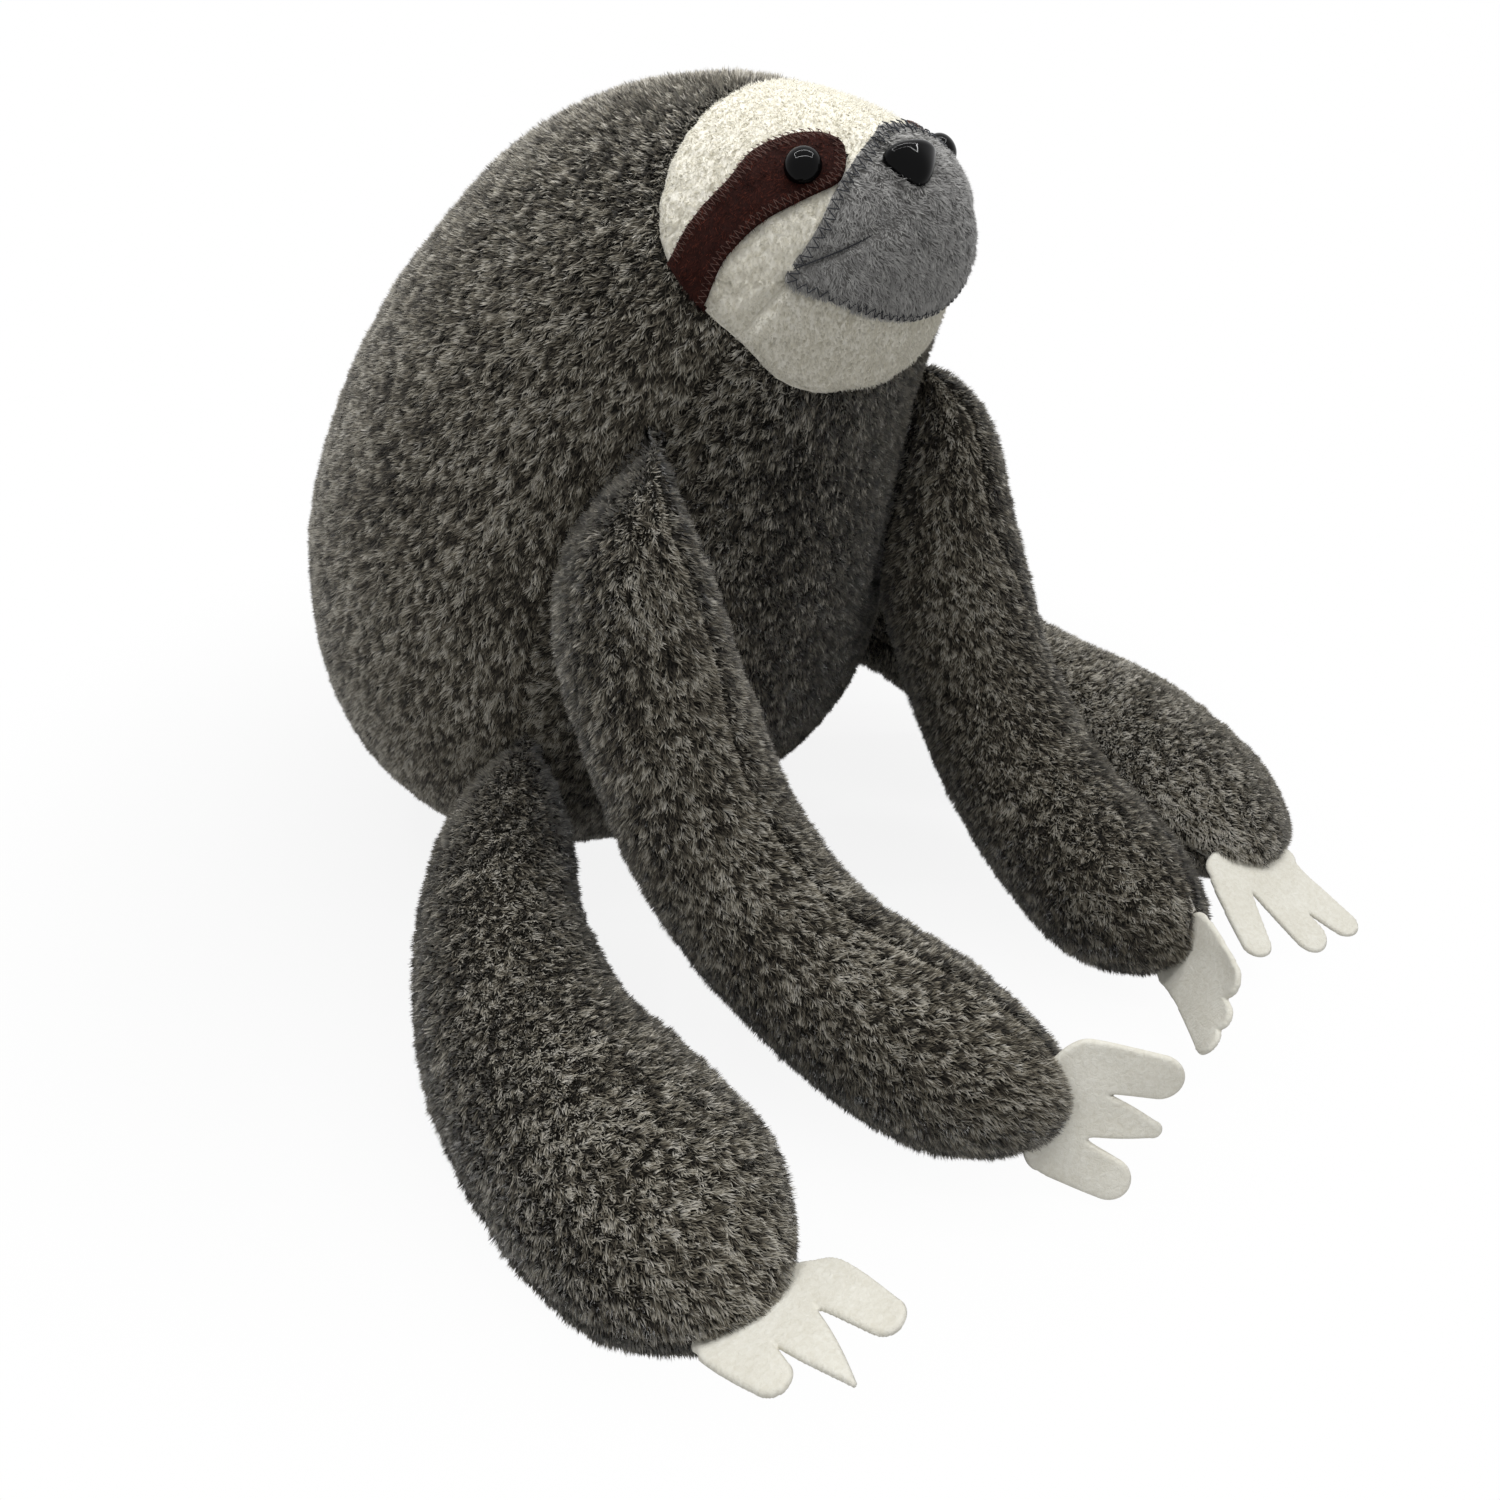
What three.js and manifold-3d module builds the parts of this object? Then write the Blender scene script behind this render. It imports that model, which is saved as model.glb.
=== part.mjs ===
// A plush sloth that sits on the floor with its long arms in front of it.
// One stuffed bag makes the body and the head. The pale face, the muzzle and the eye patches are sewn on it,
// and each arm and leg is a stuffed tube of two panels, sewn to the side seam, with felt claws in its end.
// Millimetres, +Z up. The toy looks along -Y, and the origin is the middle of the seat, on the floor.

import * as THREE from 'three';
import { mergeVertices } from 'three/addons/utils/BufferGeometryUtils.js';
import Module from 'manifold-3d';

const wasm = await Module();
wasm.setup();

// The stuffed body
const bodyHeight = 260;
const bodyHalfWidth = 104;
const bodyFront = 100;
const bodyBack = 100;
const bodyLean = 68;
const snoutRise = 5;
const snoutDrop = 32;
const snoutHalfWidth = 30;
const snoutHalfHeight = 22;

// Fabrics, seams and clearances
const plushThickness = 3;
const feltThickness = 2.2;
const patchThickness = 1.2;
const seamGap = 0.3;
const rootClearance = 0.5;
const seatCut = 0.5;
const cutOverrun = 40;
const seamReach = 10;

// The side seams run from the corner of the face past the arm and the leg and under the seat.
// A drop is measured down from the crown, a height up from the floor.
const faceCornerY = -112;
const faceCornerDrop = 53;
const armSeamTopY = -98;
const armSeamTopDrop = 76;
const armSeamLowY = -71;
const armSeamLowDrop = 125;
const legSeamTopY = -61;
const legSeamTopHeight = 88;
const legSeamLowY = -39;
const legSeamLowHeight = 36;
const seatSeamY = 30;

// The face; widths are measured round it
const faceTopY = -79;
const faceTopDrop = 1;
const faceSideY = -93;
const faceSideDrop = 34;
const chinY = -124;
const chinDrop = 73;
const cheekSeamY = -121;
const cheekSeamDrop = 39;
const muzzleHalfWidth = 36;
const muzzleBottomDrop = 50;
const muzzleTopDrop = 8;
const patchSideInset = 50;
const patchDrop = 27;
const patchHalfWidth = 6.5;

// The eyes and the nose are hard domes on posts, held by washers behind the fabric
const eyeSpread = 24.5;
const eyeDrop = 15;
const eyeRadius = 4.6;
const eyeRise = 3.6;
const postRadius = 1.5;
const postLength = 10;
const noseTopDrop = 10;
const noseHalfWidth = 7.5;
const noseLength = 9.5;
const noseRise = 5;
const washerRadius = 6;
const washerThickness = 1.5;
const washerSettle = 3.6;

// The arms and the legs, measured on the right side, which is at -X
const armReach = 151;
const armRadius = 26;
const legReach = 167;
const legSplay = 52;
const legRadius = 30;

// The felt claws
const handClawsWidth = 40;
const footClawsWidth = 42;
const clawLength = 36;
const palmLength = 12;
const clawSewnIn = 9;
const clawSetBack = 3;
const clawGap = 2;

// Steps of the curved surfaces
const bodyRings = 14;
const bodySides = 24;
const limbSides = 8;
const patchSteps = 9;
const patchColumns = 3;
const roundSides = 16;
const clawCurveSteps = 4;

// Rows of the body: height, half width, front, back and lean
const bodyShares = [
  [0.00, 1.44, 1.05, 1.50, 0.00],
  [0.15, 1.31, 1.04, 1.37, 0.03],
  [0.30, 1.16, 1.01, 1.23, 0.06],
  [0.45, 1.02, 0.94, 1.09, 0.13],
  [0.60, 0.89, 1.00, 0.96, 0.29],
  [0.75, 0.84, 1.38, 0.88, 0.56],
  [0.88, 0.84, 1.86, 0.88, 0.79],
  [1.00, 0.84, 2.32, 0.88, 1.00],
];

// Rows of an arm: along, height, half width, half thickness,
// then sideways, forward and roll on the right, and the same three on the left
const armShares = [
  [0.00, 1.02, 0.10, 1.15, 0.96, -0.04, 0.50, 0.90, -0.04, 0.55],
  [0.12, 0.94, 0.62, 1.00, 1.06, 0.07, 0.25, 0.96, 0.08, 0.25],
  [0.30, 0.70, 0.93, 0.96, 1.06, 0.16, 0.12, 0.93, 0.17, -0.20],
  [0.50, 0.45, 0.96, 0.97, 1.04, 0.30, 0.02, 0.93, 0.30, -0.50],
  [0.70, 0.27, 1.00, 1.01, 0.93, 0.51, 0.05, 0.87, 0.49, -0.70],
  [0.88, 0.166, 1.03, 1.04, 0.75, 0.775, 0.25, 0.77, 0.74, -0.60],
  [1.00, 0.155, 0.94, 0.92, 0.60, 1.00, 0.45, 0.66, 0.95, -0.40],
];

// Rows of a leg, in the same order, with the share of its splay in place of sideways
const legShares = [
  [0.00, 1.02, 0.10, 0.88, -0.10, -0.02, 0.40, -0.10, -0.02, 0.40],
  [0.12, 0.98, 0.60, 0.81, 0.22, 0.10, 0.20, 0.17, 0.10, 0.20],
  [0.30, 0.77, 0.84, 0.86, 0.64, 0.25, 0.00, 0.46, 0.25, 0.00],
  [0.50, 0.56, 1.00, 0.92, 0.90, 0.42, -0.15, 0.71, 0.43, -0.15],
  [0.70, 0.443, 1.14, 0.93, 0.98, 0.615, -0.20, 0.80, 0.63, -0.20],
  [0.88, 0.372, 1.12, 0.785, 0.99, 0.82, -0.15, 0.60, 0.85, -0.15],
  [1.00, 0.35, 0.92, 0.60, 1.00, 1.00, -0.10, 0.31, 1.04, -0.10],
];

// How far each limb's claws hang from its run, and how far they turn outwards from it
const clawDroopAngles = { arm: { right: 0.23, left: -0.04 }, leg: { right: -0.4, left: 0.43 } };
const clawTurnAngles = { arm: { right: -0.25, left: -0.42 }, leg: { right: 0.27, left: -0.04 } };
const limbRingShares = [0, 0.07, 0.15, 0.26, 0.39, 0.53, 0.67, 0.81, 0.93, 0.99];
const hollowRingIndex = 1;
const routeStepShare = 0.06;
const pawRoundShare = 0.82;
const pawBluntPower = 2.6;
const sideFingerShare = 0.86;

// Half width of the muzzle from its bottom edge to its top
const muzzleShares = [
  [0.00, 0.10],
  [0.06, 0.55],
  [0.16, 0.86],
  [0.26, 1.00],
  [0.34, 0.93],
  [0.50, 0.76],
  [0.70, 0.54],
  [0.88, 0.33],
  [1.00, 0.10],
];

// The eye patch along its middle: along, sideways from the eye to the patch's side, drop and half width
const patchShares = [
  [0.00, -0.23, 0.00, 0.30],
  [0.08, -0.15, 0.00, 0.80],
  [0.20, -0.02, 0.01, 1.00],
  [0.40, 0.29, 0.17, 1.00],
  [0.60, 0.60, 0.42, 0.95],
  [0.80, 0.83, 0.69, 0.90],
  [1.00, 0.98, 0.98, 0.86],
];

// Colours of the fabrics and of the hard trim
const plushColour = 0x4a453e;
const faceColour = 0xe9e6db;
const muzzleColour = 0x77787b;
const patchColour = 0x3a1d18;
const clawColour = 0xe8e6dc;
const trimColour = 0x0b0b0c;
const fillingColour = 0xf4f2ec;
const washerColour = 0xd8d8d4;
const fabricRoughness = 0.95;
const trimRoughness = 0.08;
const washerRoughness = 0.5;

// Heights of the places that are measured from the crown
const faceCornerZ = bodyHeight - faceCornerDrop;
const armSeamTopZ = bodyHeight - armSeamTopDrop;
const armSeamLowZ = bodyHeight - armSeamLowDrop;
const faceTopZ = bodyHeight - faceTopDrop;
const faceSideZ = bodyHeight - faceSideDrop;
const chinZ = bodyHeight - chinDrop;
const cheekSeamZ = bodyHeight - cheekSeamDrop;
const muzzleBottomZ = bodyHeight - muzzleBottomDrop;
const muzzleTopZ = bodyHeight - muzzleTopDrop;
const snoutZ = bodyHeight - snoutDrop;
const eyeZ = bodyHeight - eyeDrop;
const noseZ = bodyHeight - noseTopDrop - noseLength / 3;

// Each limb's root is the middle of its sewn line
const armShoulderY = (armSeamTopY + armSeamLowY) / 2;
const armShoulderZ = (armSeamTopZ + armSeamLowZ) / 2;
const legHipY = (legSeamTopY + legSeamLowY) / 2;
const legHipZ = (legSeamTopHeight + legSeamLowHeight) / 2;

const sloth = new THREE.Group();

// Smooth values between the rows of a table, at a share of the way along it
function blend(table, along) {
  let i = 0;
  while (i < table.length - 2 && along > table[i + 1][0]) i += 1;
  const span = table[i + 1][0] - table[i][0];
  const s = (along - table[i][0]) / span;
  const slope = (row, column) => {
    const before = table[Math.max(row - 1, 0)];
    const after = table[Math.min(row + 1, table.length - 1)];
    return (after[column] - before[column]) / (after[0] - before[0]);
  };
  return table[i].slice(1).map((value, k) => {
    const column = k + 1;
    const next = table[i + 1][column];
    const turn = s * s * (3 - 2 * s);
    const leave = s * (1 - s) * (1 - s) * span * slope(i, column);
    const arrive = s * s * (1 - s) * span * slope(i + 1, column);
    return value + (next - value) * turn + leave - arrive;
  });
}

// A closed solid from a run of closed rings, with a middle point at each end
function loft(rings, startPoint, endPoint) {
  const sides = rings[0].length;
  const positions = [];
  const index = [];
  rings.flat().concat([startPoint, endPoint]).forEach((p) => positions.push(p.x, p.y, p.z));
  const last = (rings.length - 1) * sides;
  const startIndex = rings.length * sides;
  for (let j = 0; j < sides; j += 1) {
    const next = (j + 1) % sides;
    index.push(startIndex, next, j, startIndex + 1, last + j, last + next);
    for (let i = 0; i < rings.length - 1; i += 1) {
      const row = i * sides;
      index.push(row + j, row + next, row + sides + next, row + j, row + sides + next, row + sides + j);
    }
  }
  const geometry = new THREE.BufferGeometry();
  geometry.setAttribute('position', new THREE.Float32BufferAttribute(positions, 3));
  geometry.setIndex(index);
  return facingOut(geometry);
}

// Turns the triangles over where the volume they enclose comes out negative
function facingOut(geometry) {
  const position = geometry.getAttribute('position');
  const index = Array.from(geometry.getIndex().array);
  const corner = (k) => new THREE.Vector3().fromBufferAttribute(position, index[k]);
  let volume = 0;
  for (let k = 0; k < index.length; k += 3) {
    volume += corner(k).dot(corner(k + 1).cross(corner(k + 2)));
  }
  if (volume < 0) geometry.setIndex(index.reverse());
  return geometry;
}

// A solid that can be joined and cut
function solid(geometry) {
  const bare = geometry.clone();
  bare.deleteAttribute('normal');
  bare.deleteAttribute('uv');
  const merged = mergeVertices(bare);
  return new wasm.Manifold(new wasm.Mesh({
    numProp: 3,
    vertProperties: new Float32Array(merged.getAttribute('position').array),
    triVerts: new Uint32Array(merged.getIndex().array),
  }));
}

function geometryOf(shape) {
  const cut = shape.getMesh();
  const geometry = new THREE.BufferGeometry();
  geometry.setAttribute('position', new THREE.BufferAttribute(new Float32Array(cut.vertProperties), 3));
  geometry.setIndex(new THREE.BufferAttribute(new Uint32Array(cut.triVerts), 1));
  geometry.computeVertexNormals();
  return geometry;
}

function fabric(colour) {
  return new THREE.MeshStandardMaterial({ color: colour, roughness: fabricRoughness, metalness: 0 });
}

function addPiece(name, geometry, material, matrix) {
  const mesh = new THREE.Mesh(geometry, material);
  mesh.name = name;
  if (matrix) mesh.applyMatrix4(matrix);
  sloth.add(mesh);
  return mesh;
}

// Share of the way up the body's rows at a height
function rowAt(z, inset) {
  const low = inset - seatCut;
  const high = bodyHeight - inset;
  return Math.acos(1 - (2 * (z - low)) / (high - low)) / Math.PI;
}

// Half width, front and back reach and middle of the body's ring at a share of the rows
function bodyRow(share, inset) {
  const [width, front, back, lean] = blend(bodyShares, share);
  const swell = Math.sin(Math.PI * share);
  return {
    halfWidth: (bodyHalfWidth * width - inset) * swell,
    front: (bodyFront * front - inset) * swell,
    back: (bodyBack * back - inset) * swell,
    middle: -bodyLean * lean,
  };
}

// How far the snout swells forward at a place on the front
function snout(x, z) {
  const across = x / snoutHalfWidth;
  const up = (z - snoutZ) / snoutHalfHeight;
  return snoutRise * Math.exp(-across * across - up * up);
}

// Half width of the body at a place of the side view, in front of its middle
function sideAt(y, z) {
  const row = bodyRow(rowAt(z, 0), 0);
  const forward = (row.middle - y) / row.front;
  return row.halfWidth * Math.sqrt(1 - forward * forward);
}

function bodyForm(inset) {
  const low = inset - seatCut;
  const high = bodyHeight - inset;
  const rings = [];
  for (let i = 1; i < bodyRings; i += 1) {
    const share = i / bodyRings;
    const row = bodyRow(share, inset);
    const z = low + ((high - low) * (1 - Math.cos(Math.PI * share))) / 2;
    const ring = [];
    for (let j = 0; j < bodySides; j += 1) {
      const angle = (2 * Math.PI * j) / bodySides;
      const x = row.halfWidth * Math.sin(angle);
      const forward = Math.cos(angle);
      const reach = forward > 0 ? row.front * forward + snout(x, z) : row.back * forward;
      ring.push(new THREE.Vector3(x, row.middle - reach, z));
    }
    rings.push(ring);
  }
  const start = new THREE.Vector3(0, bodyRow(0, inset).middle, low);
  const end = new THREE.Vector3(0, bodyRow(1, inset).middle, high);
  return solid(loft(rings, start, end));
}

// The point of the face at a distance round it from its middle, at a height, lifted off the fabric
function facePoint(around, z, lift) {
  const row = bodyRow(rowAt(z, -lift), -lift);
  const angle = around / row.halfWidth;
  const x = row.halfWidth * Math.sin(angle);
  return new THREE.Vector3(x, row.middle - row.front * Math.cos(angle) - snout(x, z), z);
}

// The outward direction of the face at the same place
function faceNormal(around, z) {
  const step = seamGap;
  const across = facePoint(around + step, z, 0).sub(facePoint(around - step, z, 0));
  const up = facePoint(around, z + step, 0).sub(facePoint(around, z - step, 0));
  return across.cross(up).normalize();
}

// A prism across the whole toy whose outline is drawn in the side view, as y and z
function sidePrism(outline) {
  const shape = new THREE.Shape(outline.map(([y, z]) => new THREE.Vector2(y, z)));
  const depth = 2 * (bodyHalfWidth + cutOverrun);
  const geometry = new THREE.ExtrudeGeometry(shape, { depth, bevelEnabled: false });
  const across = new THREE.Matrix4().makeBasis(
    new THREE.Vector3(0, 1, 0),
    new THREE.Vector3(0, 0, 1),
    new THREE.Vector3(1, 0, 0),
  );
  geometry.applyMatrix4(across);
  geometry.translate(-depth / 2, 0, 0);
  return solid(geometry);
}

// Moves a seam line forward by a small gap, and up or down by as much
function forward(line, gap, upOrDown) {
  return line.map(([y, z]) => [y - gap, z + upOrDown * gap]);
}

function box(width, depth, height) {
  return new THREE.BoxGeometry(width, depth, height);
}

// Everything under the floor, which flattens what stands on it
function underFloor() {
  const wide = 2 * (bodyHeight + cutOverrun);
  const slab = box(2 * wide, 2 * wide, cutOverrun);
  slab.translate(0, 0, -cutOverrun / 2);
  return solid(slab);
}

const floorCut = underFloor();
const outerBody = bodyForm(0);
const innerBody = bodyForm(plushThickness);
const coreBody = bodyForm(plushThickness + seamGap);
const patchBed = bodyForm(-seamGap);

// The lines of the body's seams in the side view
const faceLine = [
  [faceTopY, faceTopZ + cutOverrun],
  [faceTopY, faceTopZ],
  [(faceTopY + faceSideY) / 2, (2 * faceSideZ + faceTopZ) / 3],
  [faceSideY, faceSideZ],
  [faceCornerY, faceCornerZ],
  [chinY, chinZ],
  [chinY - cutOverrun, chinZ - cutOverrun / 2],
];
const cheekLine = [
  [faceCornerY + cutOverrun, faceCornerZ - cutOverrun],
  [faceCornerY, faceCornerZ],
  [cheekSeamY, cheekSeamZ],
  [cheekSeamY - cutOverrun, cheekSeamZ],
];
const sideLine = [
  [faceCornerY, faceCornerZ],
  [armSeamTopY, armSeamTopZ],
  [armSeamLowY, armSeamLowZ],
  [legSeamTopY, legSeamTopHeight],
  [legSeamLowY, legSeamLowHeight],
  [seatSeamY, 0],
  [seatSeamY + cutOverrun, -cutOverrun],
];
const frontFar = -bodyFront - bodyLean - cutOverrun;
const backFar = 2 * bodyBack + cutOverrun;

// Closes a seam line into an outline, far in front of the toy or far behind it
function inFrontOf(line) {
  const top = line[0];
  const bottom = line[line.length - 1];
  return line.concat([[frontFar, bottom[1]], [frontFar, top[1]]]);
}

// Closes a line that runs forward into an outline down to the floor
function under(line) {
  return line.concat([[frontFar, 0], [line[0][0], 0]]);
}

// The places of the hard trim, seen from the front
const trimPlaces = [[-eyeSpread, eyeZ], [eyeSpread, eyeZ], [0, noseZ]];

function postHoles() {
  return trimPlaces.map(([x, z]) => trimPost(x, z, postRadius + seamGap));
}

// The frame of a hard trim piece: its local +Z points out of the face
function trimFrame(x, z, lift) {
  const out = faceNormal(x, z);
  const across = new THREE.Vector3(0, 0, 1).cross(out).normalize();
  const up = out.clone().cross(across);
  const frame = new THREE.Matrix4().makeBasis(across, up, out);
  return frame.setPosition(facePoint(x, z, 0).addScaledVector(out, lift));
}

function trimPost(x, z, radius) {
  const length = 2 * (postLength + seamGap);
  const post = new THREE.CylinderGeometry(radius, radius, length, roundSides);
  post.rotateX(Math.PI / 2);
  post.applyMatrix4(trimFrame(x, z, 0));
  return solid(post);
}

// Everything in front of the face's seam
function faceRegion() {
  return sidePrism(inFrontOf(forward(faceLine, seamGap / 2, 1)));
}

// Panels of the body, cut from one shell along the seam lines
function buildBody() {
  const shell = outerBody.subtract(innerBody).subtract(floorCut);
  const notFace = sidePrism(inFrontOf(forward(faceLine, -seamGap / 2, 1)));
  const belly = sidePrism(inFrontOf(forward(sideLine, seamGap / 2, -1)));
  const notBelly = sidePrism(inFrontOf(forward(sideLine, -seamGap / 2, -1)));
  const chin = sidePrism(under(forward(cheekLine, seamGap / 2, -1)));
  const notChin = sidePrism(under(forward(cheekLine, -seamGap / 2, -1)));
  const plush = fabric(plushColour);
  const cream = fabric(faceColour);

  const grey = shell.subtract(notFace);
  addPiece('belly_panel', geometryOf(grey.intersect(belly)), plush);
  const back = grey.subtract(notBelly);
  const half = box(bodyHalfWidth + cutOverrun, 2 * backFar, 2 * (bodyHeight + cutOverrun));
  [['right', -1], ['left', 1]].forEach(([side, sign]) => {
    const region = half.clone();
    region.translate((sign * (bodyHalfWidth + cutOverrun + seamGap)) / 2, 0, 0);
    addPiece(`back_panel_${side}`, geometryOf(back.intersect(solid(region))), plush);
  });

  let faceShell = shell.intersect(faceRegion());
  postHoles().forEach((hole) => {
    faceShell = faceShell.subtract(hole);
  });
  addPiece('face_panel', geometryOf(faceShell.subtract(notChin)), cream);
  addPiece('chin_panel', geometryOf(faceShell.intersect(chin)), cream);

  let core = coreBody.subtract(floorCut);
  washerSeats().forEach((seat) => {
    core = core.subtract(seat);
  });
  addPiece('body_filling', geometryOf(core), fabric(fillingColour));
}

// Pockets of the filling round the posts and their washers, open towards the fabric
function washerSeats() {
  return trimPlaces.map(([x, z]) => {
    const depth = postLength + washerThickness;
    const pocket = new THREE.CylinderGeometry(
      washerRadius + seamGap,
      washerRadius + seamGap,
      depth,
      roundSides,
    );
    pocket.rotateX(Math.PI / 2);
    pocket.translate(0, 0, -depth / 2);
    pocket.applyMatrix4(trimFrame(x, z, 0));
    return solid(pocket);
  });
}

// A thin fabric shape on the face from rows of places round it, made thicker by an extra
function appliedPatch(rows, extra) {
  const low = -patchThickness;
  const high = seamGap + patchThickness + extra;
  const rings = rows.map((row) => {
    const top = row.map(([x, z]) => facePoint(x, z, high));
    const under = row.map(([x, z]) => facePoint(x, z, low)).reverse();
    return top.concat(under);
  });
  const middle = (ring) => ring.reduce((sum, p) => sum.add(p), new THREE.Vector3()).divideScalar(ring.length);
  return solid(loft(rings, middle(rings[0]), middle(rings[rings.length - 1]))).subtract(patchBed);
}

// The muzzle's outline in rows from its bottom to its top, widened by a clearance
function muzzleRows(clearance) {
  const rows = [];
  for (let i = 0; i <= patchSteps; i += 1) {
    const along = i / patchSteps;
    const [share] = blend(muzzleShares, along);
    const z = muzzleBottomZ - clearance + (muzzleTopZ - muzzleBottomZ + 2 * clearance) * along;
    const row = [];
    for (let j = 0; j <= 2 * patchColumns; j += 1) {
      row.push([(muzzleHalfWidth * share + clearance) * (j / patchColumns - 1), z]);
    }
    rows.push(row);
  }
  return rows;
}

// An eye patch in rows from its inner end to its outer one
function eyePatchRows(sign) {
  const at = (along) => {
    const [across, drop, width] = blend(patchShares, along);
    const outward = bodyHalfWidth - patchSideInset - eyeSpread;
    return { x: eyeSpread + outward * across, z: eyeZ - patchDrop * drop, half: patchHalfWidth * width };
  };
  const rows = [];
  for (let i = 0; i <= patchSteps; i += 1) {
    const along = i / patchSteps;
    const here = at(along);
    const before = at(Math.max(along - 1 / patchSteps, 0));
    const after = at(Math.min(along + 1 / patchSteps, 1));
    const run = Math.hypot(after.x - before.x, after.z - before.z);
    const row = [];
    for (let j = 0; j <= patchColumns; j += 1) {
      const side = here.half * ((2 * j) / patchColumns - 1);
      const x = here.x - (side * (after.z - before.z)) / run;
      const z = here.z + (side * (after.x - before.x)) / run;
      row.push([sign * x, z]);
    }
    rows.push(row);
  }
  return rows;
}

function buildPatches() {
  let muzzle = appliedPatch(muzzleRows(0), 0);
  postHoles().forEach((hole) => {
    muzzle = muzzle.subtract(hole);
  });
  addPiece('muzzle_patch', geometryOf(muzzle), fabric(muzzleColour));
  const besideMuzzle = appliedPatch(muzzleRows(seamGap), patchThickness);
  [['right', -1], ['left', 1]].forEach(([side, sign]) => {
    let patch = appliedPatch(eyePatchRows(sign), 0).intersect(faceRegion()).subtract(besideMuzzle);
    postHoles().forEach((hole) => {
      patch = patch.subtract(hole);
    });
    addPiece(`eye_patch_${side}`, geometryOf(patch), fabric(patchColour));
  });
}

// A hard dome on its post, turned round the local Z axis
function eyeGeometry() {
  const points = [new THREE.Vector2(0, -postLength), new THREE.Vector2(postRadius, -postLength)];
  points.push(new THREE.Vector2(postRadius, 0), new THREE.Vector2(eyeRadius, 0));
  const steps = roundSides / 4;
  for (let i = 1; i < steps; i += 1) {
    const angle = (Math.PI / 2) * (i / steps);
    points.push(new THREE.Vector2(eyeRadius * Math.cos(angle), eyeRise * Math.sin(angle)));
  }
  points.push(new THREE.Vector2(0, eyeRise));
  const dome = new THREE.LatheGeometry(points, roundSides);
  dome.rotateX(Math.PI / 2);
  return dome;
}

function washerGeometry() {
  const hole = postRadius + seamGap;
  const outline = [[hole, 0], [washerRadius, 0], [washerRadius, washerThickness], [hole, washerThickness], [hole, 0]];
  const ring = new THREE.LatheGeometry(outline.map(([r, y]) => new THREE.Vector2(r, y)), roundSides);
  ring.rotateX(Math.PI / 2);
  return ring;
}

// The nose: a rounded triangle, wide at the top, that swells into a dome
function noseGeometry() {
  const rise = noseLength / 3;
  const outline = new THREE.Shape();
  outline.moveTo(0, rise);
  outline.quadraticCurveTo(noseHalfWidth, rise, noseHalfWidth, 0);
  outline.quadraticCurveTo(noseHalfWidth / 2, -2 * rise, 0, -2 * rise);
  outline.quadraticCurveTo(-noseHalfWidth / 2, -2 * rise, -noseHalfWidth, 0);
  outline.quadraticCurveTo(-noseHalfWidth, rise, 0, rise);
  const flat = outline.getPoints(clawCurveSteps);
  flat.pop();
  const rings = [];
  const steps = roundSides / 4;
  for (let i = 0; i < steps; i += 1) {
    const angle = (Math.PI / 2) * (i / steps);
    rings.push(flat.map((p) => new THREE.Vector3(
      p.x * Math.cos(angle),
      p.y * Math.cos(angle),
      noseRise * Math.sin(angle),
    )));
  }
  const dome = solid(loft(rings, new THREE.Vector3(), new THREE.Vector3(0, 0, noseRise)));
  const post = new THREE.CylinderGeometry(postRadius, postRadius, postLength + noseRise / 2, roundSides);
  post.rotateX(Math.PI / 2);
  post.translate(0, 0, (noseRise / 2 - postLength) / 2);
  return geometryOf(dome.add(solid(post)));
}

function trimMaterial(colour, roughness) {
  return new THREE.MeshStandardMaterial({ color: colour, roughness, metalness: 0 });
}

// The trim stands on the patches, and the washers lie behind the plush
function buildTrim() {
  const seat = 2 * seamGap + patchThickness;
  const behindFabric = -(plushThickness + washerSettle + washerThickness);
  [['right', -1], ['left', 1]].forEach(([side, sign]) => {
    const x = sign * eyeSpread;
    addPiece(`eye_${side}`, eyeGeometry(), trimMaterial(trimColour, trimRoughness), trimFrame(x, eyeZ, seat));
    const frame = trimFrame(x, eyeZ, behindFabric);
    addPiece(`eye_washer_${side}`, washerGeometry(), trimMaterial(washerColour, washerRoughness), frame);
  });
  addPiece('nose', noseGeometry(), trimMaterial(trimColour, trimRoughness), trimFrame(0, noseZ, seat));
  const frame = trimFrame(0, noseZ, behindFabric);
  addPiece('nose_washer', washerGeometry(), trimMaterial(washerColour, washerRoughness), frame);
}

const armSpread = sideAt(armShoulderY, armShoulderZ);
const legSpread = sideAt(legHipY, legHipZ);

// The shares of a limb part of the way along it, on one side
function limbRow(shares, side, along) {
  const [height, width, thick, ...placed] = blend(shares, along);
  const [aside, forward, roll] = side.sign < 0 ? placed.slice(0, 3) : placed.slice(3);
  return { height, width, thick, aside, forward, roll };
}

// A limb is a route with a section that swells and tapers; its spread is negative on the right side
const arm = {
  name: 'arm',
  panels: ['outer', 'inner'],
  claws: handClawsWidth,
  splitAcross: false,
  route: (side, along) => {
    const row = limbRow(armShares, side, along);
    const y = armShoulderY - armReach * row.forward;
    return {
      middle: new THREE.Vector3(side.sign * armSpread * row.aside, y, armShoulderZ * row.height),
      halfWidth: armRadius * row.width,
      halfThick: armRadius * row.thick,
      roll: row.roll,
    };
  },
};
const leg = {
  name: 'leg',
  panels: ['top', 'sole'],
  claws: footClawsWidth,
  splitAcross: true,
  route: (side, along) => {
    const row = limbRow(legShares, side, along);
    const y = legHipY - legReach * row.forward;
    return {
      middle: new THREE.Vector3(side.sign * (legSpread + legSplay * row.aside), y, legHipZ * row.height),
      halfWidth: legRadius * row.width,
      halfThick: legRadius * row.thick,
      roll: row.roll,
    };
  },
};
const sides = [{ name: 'right', sign: -1 }, { name: 'left', sign: 1 }];

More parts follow.
